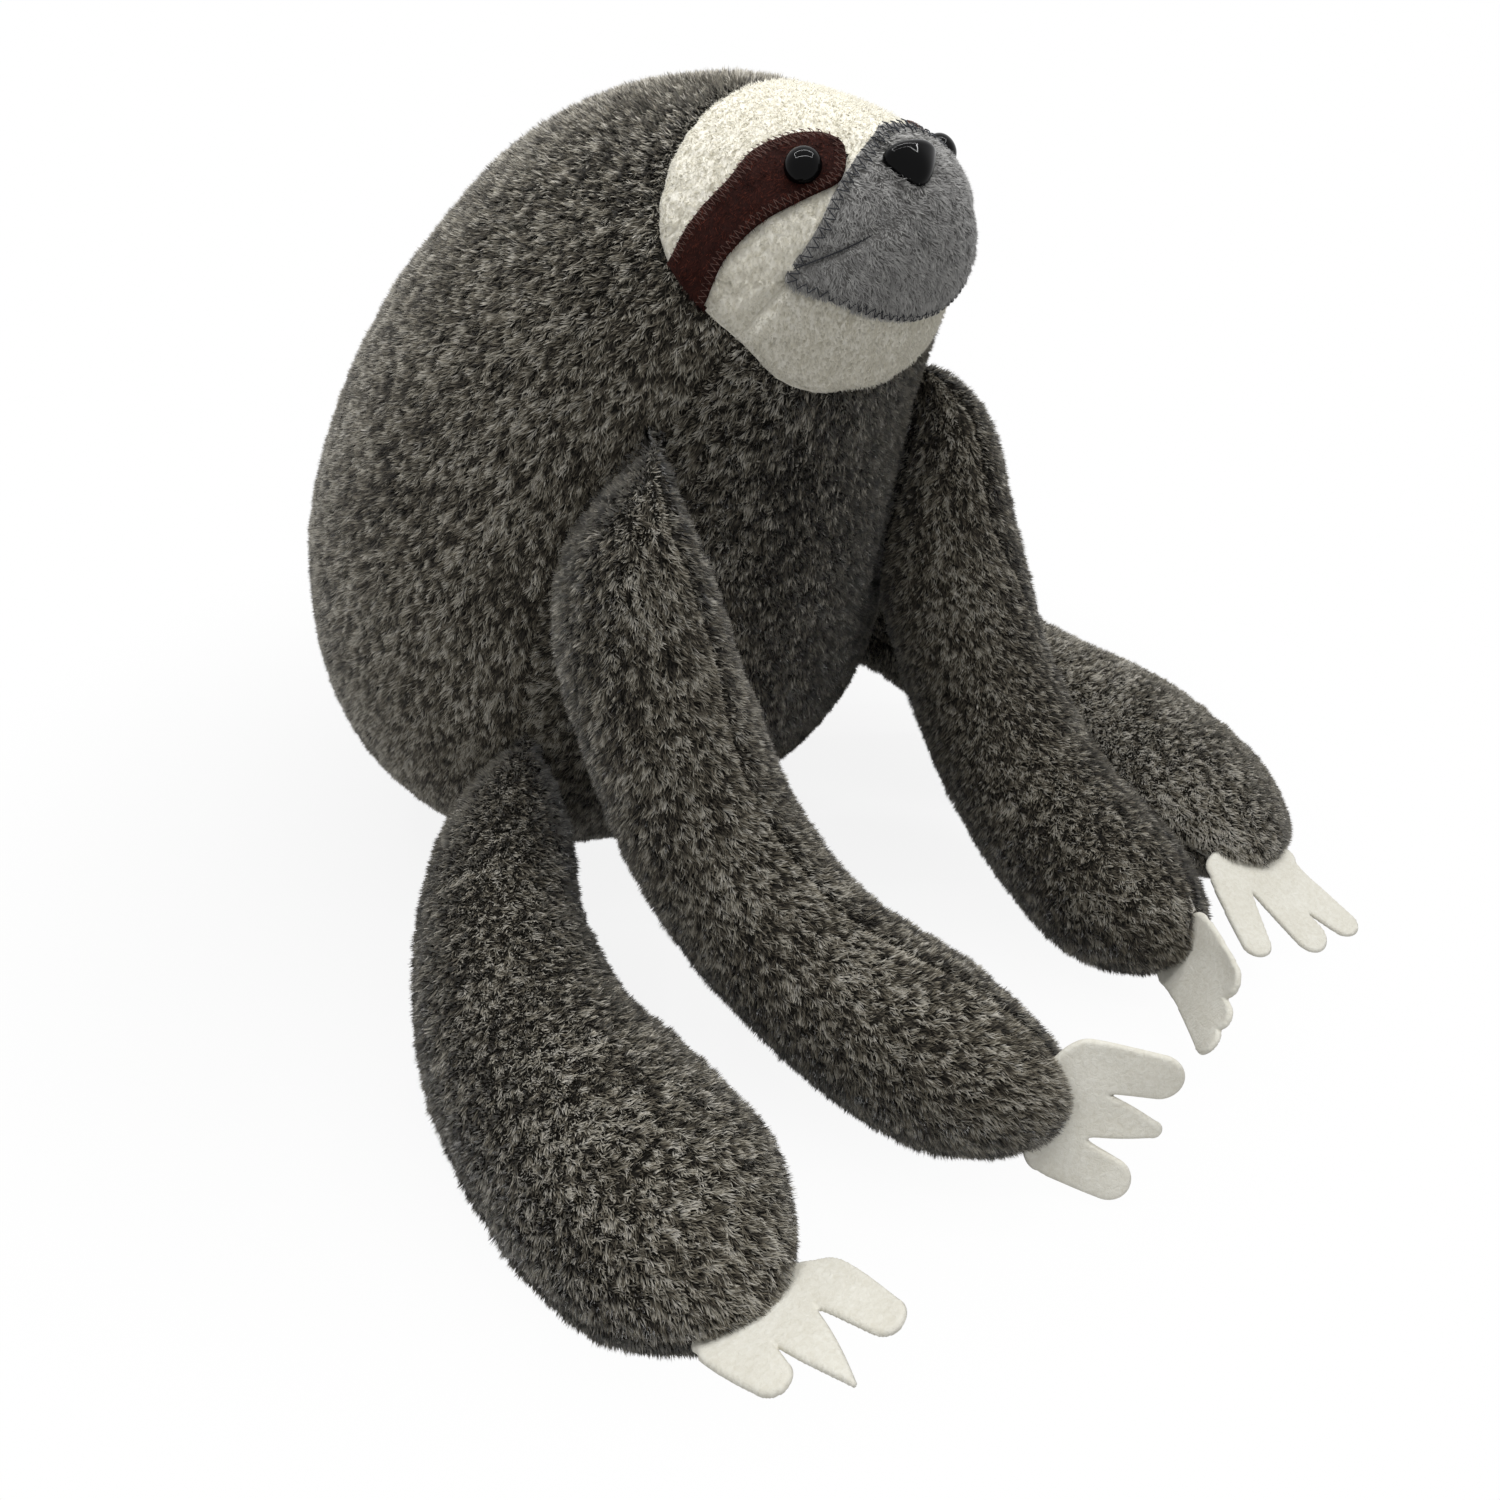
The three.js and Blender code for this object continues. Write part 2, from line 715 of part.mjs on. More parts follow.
// The section's place and directions: run along the limb, side outwards across it, lift out of its top
function sectionFrame(limb, side, along) {
  const here = limb.route(side, along);
  const before = limb.route(side, Math.max(along - routeStepShare, 0)).middle;
  const after = limb.route(side, Math.min(along + routeStepShare, 1)).middle;
  const run = after.clone().sub(before).normalize();
  const level = run.clone().cross(new THREE.Vector3(0, 0, 1)).normalize().multiplyScalar(-side.sign);
  const upright = run.clone().cross(level).multiplyScalar(side.sign);
  const across = level.clone().multiplyScalar(Math.cos(here.roll)).addScaledVector(upright, Math.sin(here.roll));
  const lift = upright.clone().multiplyScalar(Math.cos(here.roll)).addScaledVector(level, -Math.sin(here.roll));
  return { ...here, run, level, across, lift };
}

function limbLength(limb, side) {
  const places = limbRingShares.concat([1]).map((share) => limb.route(side, share).middle);
  return places.slice(1).reduce((length, place, i) => length + place.distanceTo(places[i]), 0);
}

// A point of a section, from its middle, across it and out of its top
function sectionPoint(section, across, up) {
  return section.middle.clone().addScaledVector(section.across, across).addScaledVector(section.lift, up);
}

// The stuffed tube after an inset, from one of its rings to its blunt round paw
function limbForm(limb, side, startRing, inset) {
  const length = limbLength(limb, side);
  const end = 1 - inset / length;
  const thinnest = plushThickness + 2 * seamGap - inset;
  const first = limbRingShares[startRing] + (startRing > 0 ? (inset - plushThickness) / length : 0);
  const rings = limbRingShares.slice(startRing).map((share) => {
    const along = Math.max(share * end, first);
    const section = sectionFrame(limb, side, along);
    const past = Math.max((along - pawRoundShare) / (end - pawRoundShare), 0);
    const round = Math.sqrt(1 - past ** pawBluntPower);
    const width = Math.max(section.halfWidth - inset, thinnest) * round;
    const thick = Math.max(section.halfThick - inset, thinnest) * round;
    const ring = [];
    for (let j = 0; j < limbSides; j += 1) {
      const angle = (2 * Math.PI * j) / limbSides;
      ring.push(sectionPoint(section, width * Math.cos(angle), thick * Math.sin(angle)));
    }
    return ring;
  });
  return solid(loft(rings, sectionFrame(limb, side, first).middle, sectionFrame(limb, side, end).middle));
}

// One side of the limb's seam: a block that follows the route, from a distance off its middle outwards
function seamSide(limb, side, near) {
  const wide = 2 * Math.max(armRadius, legRadius);
  const rings = [];
  limbRingShares.concat([1]).forEach((share) => {
    const section = sectionFrame(limb, side, share);
    if (share === 1) section.middle.addScaledVector(section.run, wide);
    const tall = (limb.splitAcross ? section.halfWidth : section.halfThick) + seamReach;
    const corners = [[near, -tall], [wide, -tall], [wide, tall], [near, tall]];
    rings.push(corners.map(([out, along]) => (
      limb.splitAcross ? sectionPoint(section, along, out) : sectionPoint(section, out, along)
    )));
  });
  const middle = (ring) => ring.reduce((sum, p) => sum.add(p), new THREE.Vector3()).divideScalar(ring.length);
  return solid(loft(rings, middle(rings[0]), middle(rings[rings.length - 1])));
}

// The claws' frame at the paw: local X across them, local Y ahead, local Z out of the felt
function clawFrame(limb, side) {
  const section = sectionFrame(limb, side, 1);
  const droop = side.sign * clawDroopAngles[limb.name][side.name];
  const turn = new THREE.Matrix4().makeRotationZ(side.sign * clawTurnAngles[limb.name][side.name]);
  turn.multiply(new THREE.Matrix4().makeRotationAxis(section.level, droop));
  const ahead = section.run.clone().applyMatrix4(turn);
  const across = (limb.splitAcross ? section.across : section.lift).clone().applyMatrix4(turn);
  const frame = new THREE.Matrix4().makeBasis(across, ahead, across.clone().cross(ahead));
  return frame.setPosition(section.middle.clone().addScaledVector(section.run, -clawSetBack));
}

// The sewn end of the claws' outline, which follows the round paw inside it
function sewnEnd(width, deep) {
  const outline = new THREE.Shape();
  outline.moveTo(-width / 2, 0);
  outline.quadraticCurveTo(-width / 2, -deep, 0, -deep);
  outline.quadraticCurveTo(width / 2, -deep, width / 2, 0);
  return outline;
}

// A flat piece as thick as given, lying on both sides of the local XY plane
function flatPiece(outline, thickness) {
  const settings = { depth: thickness, bevelEnabled: false, curveSegments: clawCurveSteps };
  const piece = new THREE.ExtrudeGeometry(outline, settings);
  piece.translate(0, 0, -thickness / 2);
  return piece;
}

// Three rounded fingers on a palm, in one piece of felt
function clawsGeometry(width) {
  const finger = (width - 2 * clawGap) / 3;
  const tip = finger / 2;
  const outline = sewnEnd(width, clawSewnIn);
  [1, 0, -1].forEach((place) => {
    const middle = place * (finger + clawGap);
    const reach = clawLength * (place === 0 ? 1 : sideFingerShare) - tip;
    outline.lineTo(middle + tip, place === 1 ? 0 : palmLength);
    outline.absarc(middle, reach, tip, 0, Math.PI, false);
    outline.lineTo(middle - tip, place === -1 ? 0 : palmLength);
  });
  return flatPiece(outline, feltThickness);
}

// The slot between the panels that takes the claws' sewn edge
function clawSlot(limb, side) {
  const width = limb.claws + 2 * seamGap;
  const outline = sewnEnd(width, clawSewnIn + 2 * seamGap);
  outline.lineTo(width / 2, clawLength);
  outline.lineTo(-width / 2, clawLength);
  const slot = flatPiece(outline, feltThickness + 2 * seamGap);
  slot.applyMatrix4(clawFrame(limb, side));
  return solid(slot);
}

function buildLimb(limb, side, bodyCut) {
  const slot = clawSlot(limb, side);
  const trimmed = (shape) => shape.subtract(bodyCut).subtract(floorCut).subtract(slot);
  const shell = limbForm(limb, side, 0, 0).subtract(limbForm(limb, side, hollowRingIndex, plushThickness));
  const beyond = seamSide(limb, side, seamGap / 2);
  const before = seamSide(limb, side, -seamGap / 2);
  const halves = [shell.intersect(beyond).intersect(before), shell.subtract(beyond).subtract(before)];
  limb.panels.forEach((panel, i) => {
    const name = `${limb.name}_${panel}_panel_${side.name}`;
    addPiece(name, geometryOf(trimmed(halves[i])), fabric(plushColour));
  });
  const filling = trimmed(limbForm(limb, side, hollowRingIndex, plushThickness + seamGap));
  addPiece(`${limb.name}_filling_${side.name}`, geometryOf(filling), fabric(fillingColour));
  const felt = clawsGeometry(limb.claws);
  addPiece(`${limb.name}_claws_${side.name}`, felt, fabric(clawColour), clawFrame(limb, side));
}

buildBody();
buildPatches();
buildTrim();
const bodyCut = bodyForm(-rootClearance);
[arm, leg].forEach((limb) => sides.forEach((side) => buildLimb(limb, side, bodyCut)));

export default sloth;
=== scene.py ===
"""Visual model of a sitting plush sloth. Metres, +Z up; it looks along -Y and its right side is at -X.

Every shape is worked out in millimetres as whole numpy arrays, and written to its mesh in metres. Plush and fleece
are a cloth skin and its pile, which is many short flat fibres that lie along the nap.
"""

import math

import bpy
import numpy as np
from mathutils import Matrix, Vector


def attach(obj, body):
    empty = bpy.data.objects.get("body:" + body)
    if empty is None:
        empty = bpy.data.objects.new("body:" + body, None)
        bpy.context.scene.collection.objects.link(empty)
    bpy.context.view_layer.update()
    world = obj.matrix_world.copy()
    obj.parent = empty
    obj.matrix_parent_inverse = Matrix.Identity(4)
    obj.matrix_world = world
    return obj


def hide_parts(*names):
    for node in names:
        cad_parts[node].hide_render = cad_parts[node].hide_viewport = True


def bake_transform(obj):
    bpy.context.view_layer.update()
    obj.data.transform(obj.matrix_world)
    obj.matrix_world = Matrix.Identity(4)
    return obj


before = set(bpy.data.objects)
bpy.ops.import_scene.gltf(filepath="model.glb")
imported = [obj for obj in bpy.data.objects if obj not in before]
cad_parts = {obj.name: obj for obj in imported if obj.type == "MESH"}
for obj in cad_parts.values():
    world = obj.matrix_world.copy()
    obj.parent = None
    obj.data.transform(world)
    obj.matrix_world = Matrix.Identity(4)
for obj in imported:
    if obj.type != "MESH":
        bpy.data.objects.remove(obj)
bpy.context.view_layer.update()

MM = 0.001

# ---- sizes, as in the solids

BODY_HEIGHT, BODY_HALF_WIDTH, BODY_FRONT, BODY_BACK = 260.0, 104.0, 100.0, 100.0
BODY_LEAN, SEAT_CUT = 68.0, 0.5
SNOUT_RISE, SNOUT_Z, SNOUT_HALF_WIDTH, SNOUT_HALF_HEIGHT = 5.0, 228.0, 30.0, 22.0
FELT, PATCH, SEAM_GAP = 2.2, 1.2, 0.3
EYE_SPREAD, EYE_Z, EYE_RADIUS, EYE_RISE, POST_RADIUS, POST_LENGTH = 24.5, 245.0, 4.6, 3.6, 1.5, 10.0
NOSE_HALF_WIDTH, NOSE_LENGTH, NOSE_RISE = 7.5, 9.5, 5.0
NOSE_Z = BODY_HEIGHT - 10.0 - NOSE_LENGTH / 3
MUZZLE_HALF_WIDTH, MUZZLE_BOTTOM, MUZZLE_TOP = 36.0, 210.0, 252.0
CLAW_LENGTH, CLAW_SEWN_IN, CLAW_SET_BACK = 36.0, 9.0, 3.0
PAW_ROUND, PAW_POWER = 0.82, 2.6

# Rows of the body: height, half width, front, back and lean
BODY_ROWS = np.array([
    [0.00, 1.44, 1.05, 1.50, 0.00], [0.15, 1.31, 1.04, 1.37, 0.03], [0.30, 1.16, 1.01, 1.23, 0.06],
    [0.45, 1.02, 0.94, 1.09, 0.13], [0.60, 0.89, 1.00, 0.96, 0.29], [0.75, 0.84, 1.38, 0.88, 0.56],
    [0.88, 0.84, 1.86, 0.88, 0.79], [1.00, 0.84, 2.32, 0.88, 1.00]])

# Rows of an arm: along, height, half width, half thickness, then sideways, forward and roll on the right, and
# the same three on the left
ARM_ROWS = np.array([
    [0.00, 1.02, 0.10, 1.15, 0.96, -0.04, 0.50, 0.90, -0.04, 0.55],
    [0.12, 0.94, 0.62, 1.00, 1.06, 0.07, 0.25, 0.96, 0.08, 0.25],
    [0.30, 0.70, 0.93, 0.96, 1.06, 0.16, 0.12, 0.93, 0.17, -0.20],
    [0.50, 0.45, 0.96, 0.97, 1.04, 0.30, 0.02, 0.93, 0.30, -0.50],
    [0.70, 0.27, 1.00, 1.01, 0.93, 0.51, 0.05, 0.87, 0.49, -0.70],
    [0.88, 0.166, 1.03, 1.04, 0.75, 0.775, 0.25, 0.77, 0.74, -0.60],
    [1.00, 0.155, 0.94, 0.92, 0.60, 1.00, 0.45, 0.66, 0.95, -0.40]])

# Rows of a leg, in the same order, with the share of its splay in place of sideways
LEG_ROWS = np.array([
    [0.00, 1.02, 0.10, 0.88, -0.10, -0.02, 0.40, -0.10, -0.02, 0.40],
    [0.12, 0.98, 0.60, 0.81, 0.22, 0.10, 0.20, 0.17, 0.10, 0.20],
    [0.30, 0.77, 0.84, 0.86, 0.64, 0.25, 0.00, 0.46, 0.25, 0.00],
    [0.50, 0.56, 1.00, 0.92, 0.90, 0.42, -0.15, 0.71, 0.43, -0.15],
    [0.70, 0.443, 1.14, 0.93, 0.98, 0.615, -0.20, 0.80, 0.63, -0.20],
    [0.88, 0.372, 1.12, 0.785, 0.99, 0.82, -0.15, 0.60, 0.85, -0.15],
    [1.00, 0.35, 0.92, 0.60, 1.00, 1.00, -0.10, 0.31, 1.04, -0.10]])

# Half width of the muzzle from its bottom edge to its top
MUZZLE_ROWS = np.array([
    [0.00, 0.08], [0.06, 0.42], [0.13, 0.64], [0.19, 0.81], [0.25, 0.98], [0.31, 1.00], [0.50, 0.84],
    [0.69, 0.675], [0.78, 0.565], [0.87, 0.42], [0.93, 0.29], [1.00, 0.08]])

# The eye patch from its inner end to the face's seam: along, then sideways and height of its upper edge and of
# its lower edge
PATCH_EDGES = np.array([
    [0.00, 15.0, 248.8, 16.2, 247.4], [0.05, 14.9, 250.3, 18.4, 244.8], [0.13, 17.0, 251.3, 21.4, 242.1],
    [0.28, 22.5, 250.6, 27.0, 239.6], [0.45, 31.8, 247.2, 32.6, 236.9], [0.60, 40.6, 241.1, 38.0, 233.8],
    [0.75, 47.4, 235.8, 43.4, 229.2], [0.88, 52.6, 230.5, 48.0, 223.7], [1.00, 57.8, 223.5, 52.6, 214.2]])

# The mouth's sewn dart from the corner inwards: sideways and height
MOUTH = np.array([[34.5, 224.2], [27.1, 227.5], [21.7, 230.0], [13.6, 234.3]])

# Where the domes lie on the face, a little off their posts as the photo shows them: sideways and height
DOME_PLACES = {"right": (-26.0, 244.2), "left": (28.5, 242.2), "nose": (-5.2, 245.0)}
NOSE_STRETCH = (0.97, 1.18)

# Seam lines in the side view, as heights and places along Y
FACE_LINE = np.array([[167.0, -164.0], [187.0, -124.0], [207.0, -112.0], [226.0, -93.0], [237.0, -86.0],
                      [259.0, -79.0], [299.0, -79.0]])
SIDE_LINE = np.array([[-1.0, 31.0], [0.0, 30.0], [36.0, -39.0], [88.0, -61.0], [135.0, -71.0],
                      [184.0, -98.0], [207.0, -112.0]])
CORNER_Z, CHEEK_Z, CORNER_Y, CHEEK_Y = 207.0, 221.0, -112.0, -121.0

# Rows, reach, radius and root in the side view of a limb
LIMBS = {"arm": (ARM_ROWS, 151.0, 26.0, (-84.5, 159.5)), "leg": (LEG_ROWS, 167.0, 30.0, (-50.0, 62.0))}
LEG_SPLAY = 52.0
SIDES = {"right": -1, "left": 1}

# How far each limb's claws hang from its run, and how far they turn outwards from it, in radians
CLAW_TURNS = {("arm", "right"): (0.25, -0.25), ("arm", "left"): (-0.04, -0.42),
              ("leg", "right"): (-0.45, 0.27), ("leg", "left"): (0.43, -0.04)}
# Each claw from its root to the middle of its round end: across and ahead at both, then half widths at both
FINGERS = {
    ("arm", "right"): ((-12.3, 3.0, -14.0, 18.8, 7.2, 6.2), (1.5, 4.0, 3.0, 25.0, 7.2, 2.6),
                       (14.3, 2.0, 17.9, 20.6, 7.4, 6.6)),
    ("arm", "left"): ((-8.5, 3.0, -9.7, 31.3, 5.4, 5.2), (-1.0, 3.0, -2.8, 28.8, 5.6, 4.6),
                      (6.0, 3.0, 5.5, 21.4, 6.4, 5.9)),
    ("leg", "right"): ((-15.6, 3.0, -20.0, 22.6, 7.4, 5.4), (-2.3, 6.0, -4.4, 33.8, 7.2, 0.8),
                       (11.2, 4.0, 8.6, 20.6, 7.3, 5.0)),
    ("leg", "left"): ((-15.2, 4.0, -18.2, 27.6, 7.0, 5.4), (-3.4, 5.0, 4.6, 28.2, 7.0, 6.4),
                      (8.0, 6.0, 19.2, 26.8, 7.0, 5.0)),
}
# Middle and half width of the sewn end, then how far the felt curls down ahead and from finger to finger
PALMS = {("arm", "right"): (0.8, 20.0, 2.0, 1.2), ("arm", "left"): (-1.6, 14.0, -3.0, 1.5),
         ("leg", "right"): (-0.8, 19.4, -2.0, 0.8), ("leg", "left"): (-3.4, 18.6, -2.0, 1.2)}

# Where a limb's fabric starts to turn over from the body into the limb on the left, the way it goes there, and
# over how many millimetres
ROOT_BLENDS = {"arm": ((64.0, -86.0, 160.0), (-0.10, -0.84, -0.53), 44.0),
               "leg": ((85.0, -52.0, 62.0), (0.62, -0.75, -0.22), 34.0)}

# Piles: fibres on a square millimetre, their length, width and angle of lift, the size of their tufts, the size of
# their streaks across and along the nap, and the shares of streaks, fine streaks, clouds and chance in their tone
PLUSH_FIBRES = dict(density=5.0, length=2.3, width=0.48, lift=0.95, tuft=1.5, streak=(0.95, 2.1),
                    tone=(0.40, 0.22, 0.06, 0.12))
FACE_FIBRES = dict(density=3.0, length=1.2, width=0.4, lift=0.75, tuft=1.1, streak=(1.2, 1.2),
                   tone=(0.14, 0.1, 0.05, 0.16))
MUZZLE_FIBRES = dict(density=7.0, length=1.5, width=0.36, lift=0.55, tuft=1.6, streak=(1.0, 2.0),
                     tone=(0.14, 0.1, 0.06, 0.14))
PATCH_FIBRES = dict(density=7.0, length=1.0, width=0.2, lift=0.5, tuft=1.2, streak=(0.8, 1.6),
                    tone=(0.16, 0.12, 0.06, 0.2))
# Thickness of the cloth of plush and muzzle, of fleece and of eye patches, how far their pile's roots lie in from
# the outside, and seam grooves as depth and width
CLOTH_WALL, FLEECE_WALL, PATCH_WALL, PLUSH_DEPTH, FLEECE_DEPTH = 1.2, 1.4, 1.0, 1.3, 0.6
BODY_GROOVE, LIMB_GROOVE, FLEECE_GROOVE = (1.3, 2.2), (2.2, 2.0), (1.5, 1.8)
# Threads: half thickness, and for a zigzag its pitch, reach to both sides, lift and seed
MUZZLE_STITCH, MUZZLE_ZIGZAG = 0.15, (1.15, -2.1, 0.2, 2.4, 5)
PATCH_STITCH, PATCH_PITCH, PATCH_REACH, PATCH_LIFT, PATCH_SEED = 0.1, 0.75, 1.7, 1.45, 6
MOUTH_STITCH = 0.16
# Points closer than this are joined; a distance that stands for no seam nearby
WELD, NO_SEAM = 0.004, 99.0
# Painted light and shade: each piece's pile tone is shifted, lighter where its nap lies towards the light and
# darker where it lies in shade
PAINTED_LIGHTING = {("arm", "right"): -0.02, ("arm", "left"): -0.05, ("leg", "right"): 0.05, ("leg", "left"): 0.18}
BELLY_PAINTED_LIGHTING, BACK_PAINTED_LIGHTING = 0.03, -0.02

# The photograph's camera: its turn and rise, its distance and place in millimetres, and its lens in pixels
CAMERA_TURN, CAMERA_RISE = math.radians(-45.5), math.radians(33.5)
CAMERA_BACK, CAMERA_ASIDE, CAMERA_UP, CAMERA_AHEAD = 462, 18, 38, -50
FOCAL_PIXELS, PICTURE_PIXELS, SENSOR = 1250, 1500, 36.0


# ---- numbers

def between_rows(table, along):
    """Smooth values between a table's rows: a cubic through both rows with the slopes of their neighbours."""
    along = np.asarray(along, float)
    keys, values = table[:, 0], table[:, 1:]
    last = len(keys) - 1
    row = np.clip(np.searchsorted(keys, along, side="right") - 1, 0, last - 1)
    after, before = np.minimum(np.arange(last + 1) + 1, last), np.maximum(np.arange(last + 1) - 1, 0)
    slopes = (values[after] - values[before]) / (keys[after] - keys[before])[:, None]
    span = (keys[row + 1] - keys[row])[..., None]
    s = (along - keys[row])[..., None] / span
    low, high = values[row], values[row + 1]
    return (low + (high - low) * s * s * (3 - 2 * s) + s * (1 - s) ** 2 * span * slopes[row]
            - s * s * (1 - s) * span * slopes[row + 1])


def unit(vectors):
    """Vectors of length one."""
    return vectors / np.maximum(np.linalg.norm(vectors, axis=-1, keepdims=True), 1e-9)


LATTICE_SIZE = 256
LATTICE = np.random.default_rng(7).random((LATTICE_SIZE, LATTICE_SIZE)) * 2 - 1


def drift(places, seed):
    """Smooth random value from -1 to 1 at places in a plane: a lattice of random values, blended between."""
    places = np.asarray(places, float) + seed * 37.13
    cell = np.floor(places).astype(int)
    part = places - cell
    part = part * part * (3 - 2 * part)
    i, j = cell[..., 0] % LATTICE_SIZE, cell[..., 1] % LATTICE_SIZE
    i2, j2 = (i + 1) % LATTICE_SIZE, (j + 1) % LATTICE_SIZE
    a, b = part[..., 0], part[..., 1]
    return ((LATTICE[i, j] * (1 - a) + LATTICE[i2, j] * a) * (1 - b)
            + (LATTICE[i, j2] * (1 - a) + LATTICE[i2, j2] * a) * b)


def layers(places, *kinds):
    """A sum of drifts, each given by its size, its share and its seed."""
    return sum(drift(places / size, seed) * share for size, share, seed in kinds)


def nearest(points, line):
    """Distance from each point to the nearest point of a finely stepped line, worked out in portions."""
    flat, portion = points.reshape(-1, 3), 2000
    out = np.empty(len(flat))
    for start in range(0, len(flat), portion):
        part = flat[start:start + portion]
        out[start:start + portion] = np.sqrt(((part[:, None] - line[None]) ** 2).sum(-1).min(1))
    return out.reshape(points.shape[:-1])


def whole_turn(count):
    """Angles all the way round, the first one again at the end."""
    return np.linspace(0, 2 * np.pi, count)


def groove(seam, depth, width):
    """How far a seam draws the fabric in at a distance from it: a bell-shaped valley."""
    return -depth * np.exp(-(seam / width) ** 2)


# ---- the body's outside

def share_at(z):
    """Share of the way up the body's rows at a height; rows lie closer together near the crown and the seat."""
    up = (np.asarray(z, float) + SEAT_CUT) / (BODY_HEIGHT + SEAT_CUT)
    return np.arccos(np.clip(1 - 2 * up, -1, 1)) / np.pi


def height_at(share):
    """Height of a row, the inverse of share_at."""
    return -SEAT_CUT + (BODY_HEIGHT + SEAT_CUT) * (1 - np.cos(np.pi * share)) / 2


def body_ring(share):
    """Half width, front reach, back reach and middle of a row: the table's values times the sine of its share."""
    values = between_rows(BODY_ROWS, share)
    swell = np.sin(np.pi * share)
    return (BODY_HALF_WIDTH * values[..., 0] * swell, BODY_FRONT * values[..., 1] * swell,
            BODY_BACK * values[..., 2] * swell, -BODY_LEAN * values[..., 3])


def snout_at(x, z):
    """How far the snout swells forward: a bell-shaped hill."""
    return SNOUT_RISE * np.exp(-(x / SNOUT_HALF_WIDTH) ** 2 - ((z - SNOUT_Z) / SNOUT_HALF_HEIGHT) ** 2)


def body_point(share, turn):
    """Point of the body at a row and an angle from its front: an oval ring with the snout, cut flat at the
    floor."""
    half, front, back, middle = body_ring(share)
    z = height_at(share)
    x = half * np.sin(turn)
    ahead = np.cos(turn)
    reach = np.where(ahead > 0, front * ahead + snout_at(x, z), back * ahead)
    return np.stack([x, middle - reach, np.maximum(z, 0) + 0 * x], -1)


def body_normal(share, turn):
    """Outward direction of the body, square to small steps round it and up it."""
    share = np.clip(share, 0.004, 0.996)
    across = body_point(share, turn + 0.004) - body_point(share, turn - 0.004)
    up = body_point(share + 0.002, turn) - body_point(share - 0.002, turn)
    return unit(np.cross(across, up))


def seam_turn(share, y):
    """Angle from the front at which a row is crossed by a seam at a place along Y."""
    _, front, back, middle = body_ring(share)
    reach = np.maximum(np.where(y < middle, front, back), 1e-6)
    return np.arccos(np.clip((middle - y) / reach, -1, 1))


def face_turn(share):
    """Angle of the face's seam on a row."""
    return seam_turn(share, between_rows(FACE_LINE, height_at(share))[..., 0])


def side_turn(share):
    """Angle of the side seam on a row: below the face's corner the side line, above it the face's seam."""
    z = height_at(share)
    side = seam_turn(share, np.interp(z, SIDE_LINE[:, 0], SIDE_LINE[:, 1]))
    return np.where(z < CORNER_Z, side, face_turn(share))


def cheek_turn(share):
    """Angle of the cheek seam on a row, found in a few steps because the snout changes the reach."""
    z = height_at(share)
    y = CORNER_Y + (CHEEK_Y - CORNER_Y) * (z - CORNER_Z) / (CHEEK_Z - CORNER_Z)
    half = body_ring(share)[0]
    turn = seam_turn(share, y)
    for _ in range(4):
        turn = seam_turn(share, y + snout_at(half * np.sin(turn), z))
    return turn


def face_ends():
    """Shares of the rows at which the face's seam closes, under the chin and on the crown."""
    share = np.linspace(share_at(170), 0.999, 4000)
    inside = share[face_turn(share) > 1e-4]
    return inside.min(), inside.max()


CHIN_SHARE, CROWN_SHARE = face_ends()
CORNER_SHARE, CHEEK_SHARE = float(share_at(CORNER_Z)), float(share_at(CHEEK_Z))


# ---- the limbs' outside

def root_spread(kind):
    """Half width of the body at a limb's root."""
    y, z = LIMBS[kind][3]
    half, front, _, middle = body_ring(share_at(z))
    return float(half * np.sqrt(1 - ((middle - y) / front) ** 2))


ARM_SPREAD, LEG_SPREAD = root_spread("arm"), root_spread("leg")


def limb_route(kind, sign, along):
    """Middle, half width, half thickness and roll of a limb along its way, from its table."""
    rows, reach, radius, root = LIMBS[kind]
    v = between_rows(rows, along)
    aside, forward, roll = (v[..., k] for k in ((3, 4, 5) if sign < 0 else (6, 7, 8)))
    aside = ARM_SPREAD * aside if kind == "arm" else LEG_SPREAD + LEG_SPLAY * aside
    middle = np.stack([sign * aside, root[0] - reach * forward, root[1] * v[..., 0]], -1)
    return middle, radius * v[..., 1], radius * v[..., 2], roll


def limb_section(kind, sign, along):
    """Middle, sizes and directions of a limb's section: along the limb, across it and out of its top."""
    middle, wide, thick, roll = limb_route(kind, sign, along)
    before = limb_route(kind, sign, np.maximum(along - 0.06, 0))[0]
    after = limb_route(kind, sign, np.minimum(along + 0.06, 1))[0]
    run = unit(after - before)
    level = unit(np.cross(run, [0, 0, 1.0])) * -sign
    upright = np.cross(run, level) * sign
    c, s = np.cos(roll)[..., None], np.sin(roll)[..., None]
    return middle, wide, thick, run, level * c + upright * s, upright * c - level * s


def limb_surface(kind, sign, along, angle, inset=0.0):
    """Points of a stuffed limb on a grid of ways along it and angles round it: an oval section that swells and
    tapers, rounded off bluntly at the paw."""
    middle, wide, thick, _, across, lift = limb_section(kind, sign, along)
    past = np.clip((along - PAW_ROUND) / (1 - PAW_ROUND), 0, 1)
    blunt = np.sqrt(np.maximum(1 - past ** PAW_POWER, 0))
    wide, thick = ((np.maximum(size - inset, 0.5) * blunt)[:, None, None] for size in (wide, thick))
    c, s = np.cos(angle)[None, :, None], np.sin(angle)[None, :, None]
    return middle[:, None] + across[:, None] * c * wide + lift[:, None] * s * thick


def beyond_body(points):
    """How far points lie outside the body, measured along its oval rings."""
    half, front, back, middle = body_ring(share_at(points[..., 2]))
    reach = np.where(points[..., 1] < middle, front, back)
    return (np.hypot(points[..., 0] / half, (points[..., 1] - middle) / reach) - 1) * half


def root_line(kind, sign):
    """Points along the line where a limb's outside leaves the body."""
    along, angle = np.linspace(0.0, 0.5, 160), whole_turn(260)
    points = limb_surface(kind, sign, along, angle)
    first = np.argmax(beyond_body(points) > 0, 0)
    return points[first, np.arange(len(angle))][first > 0]


# ---- seams

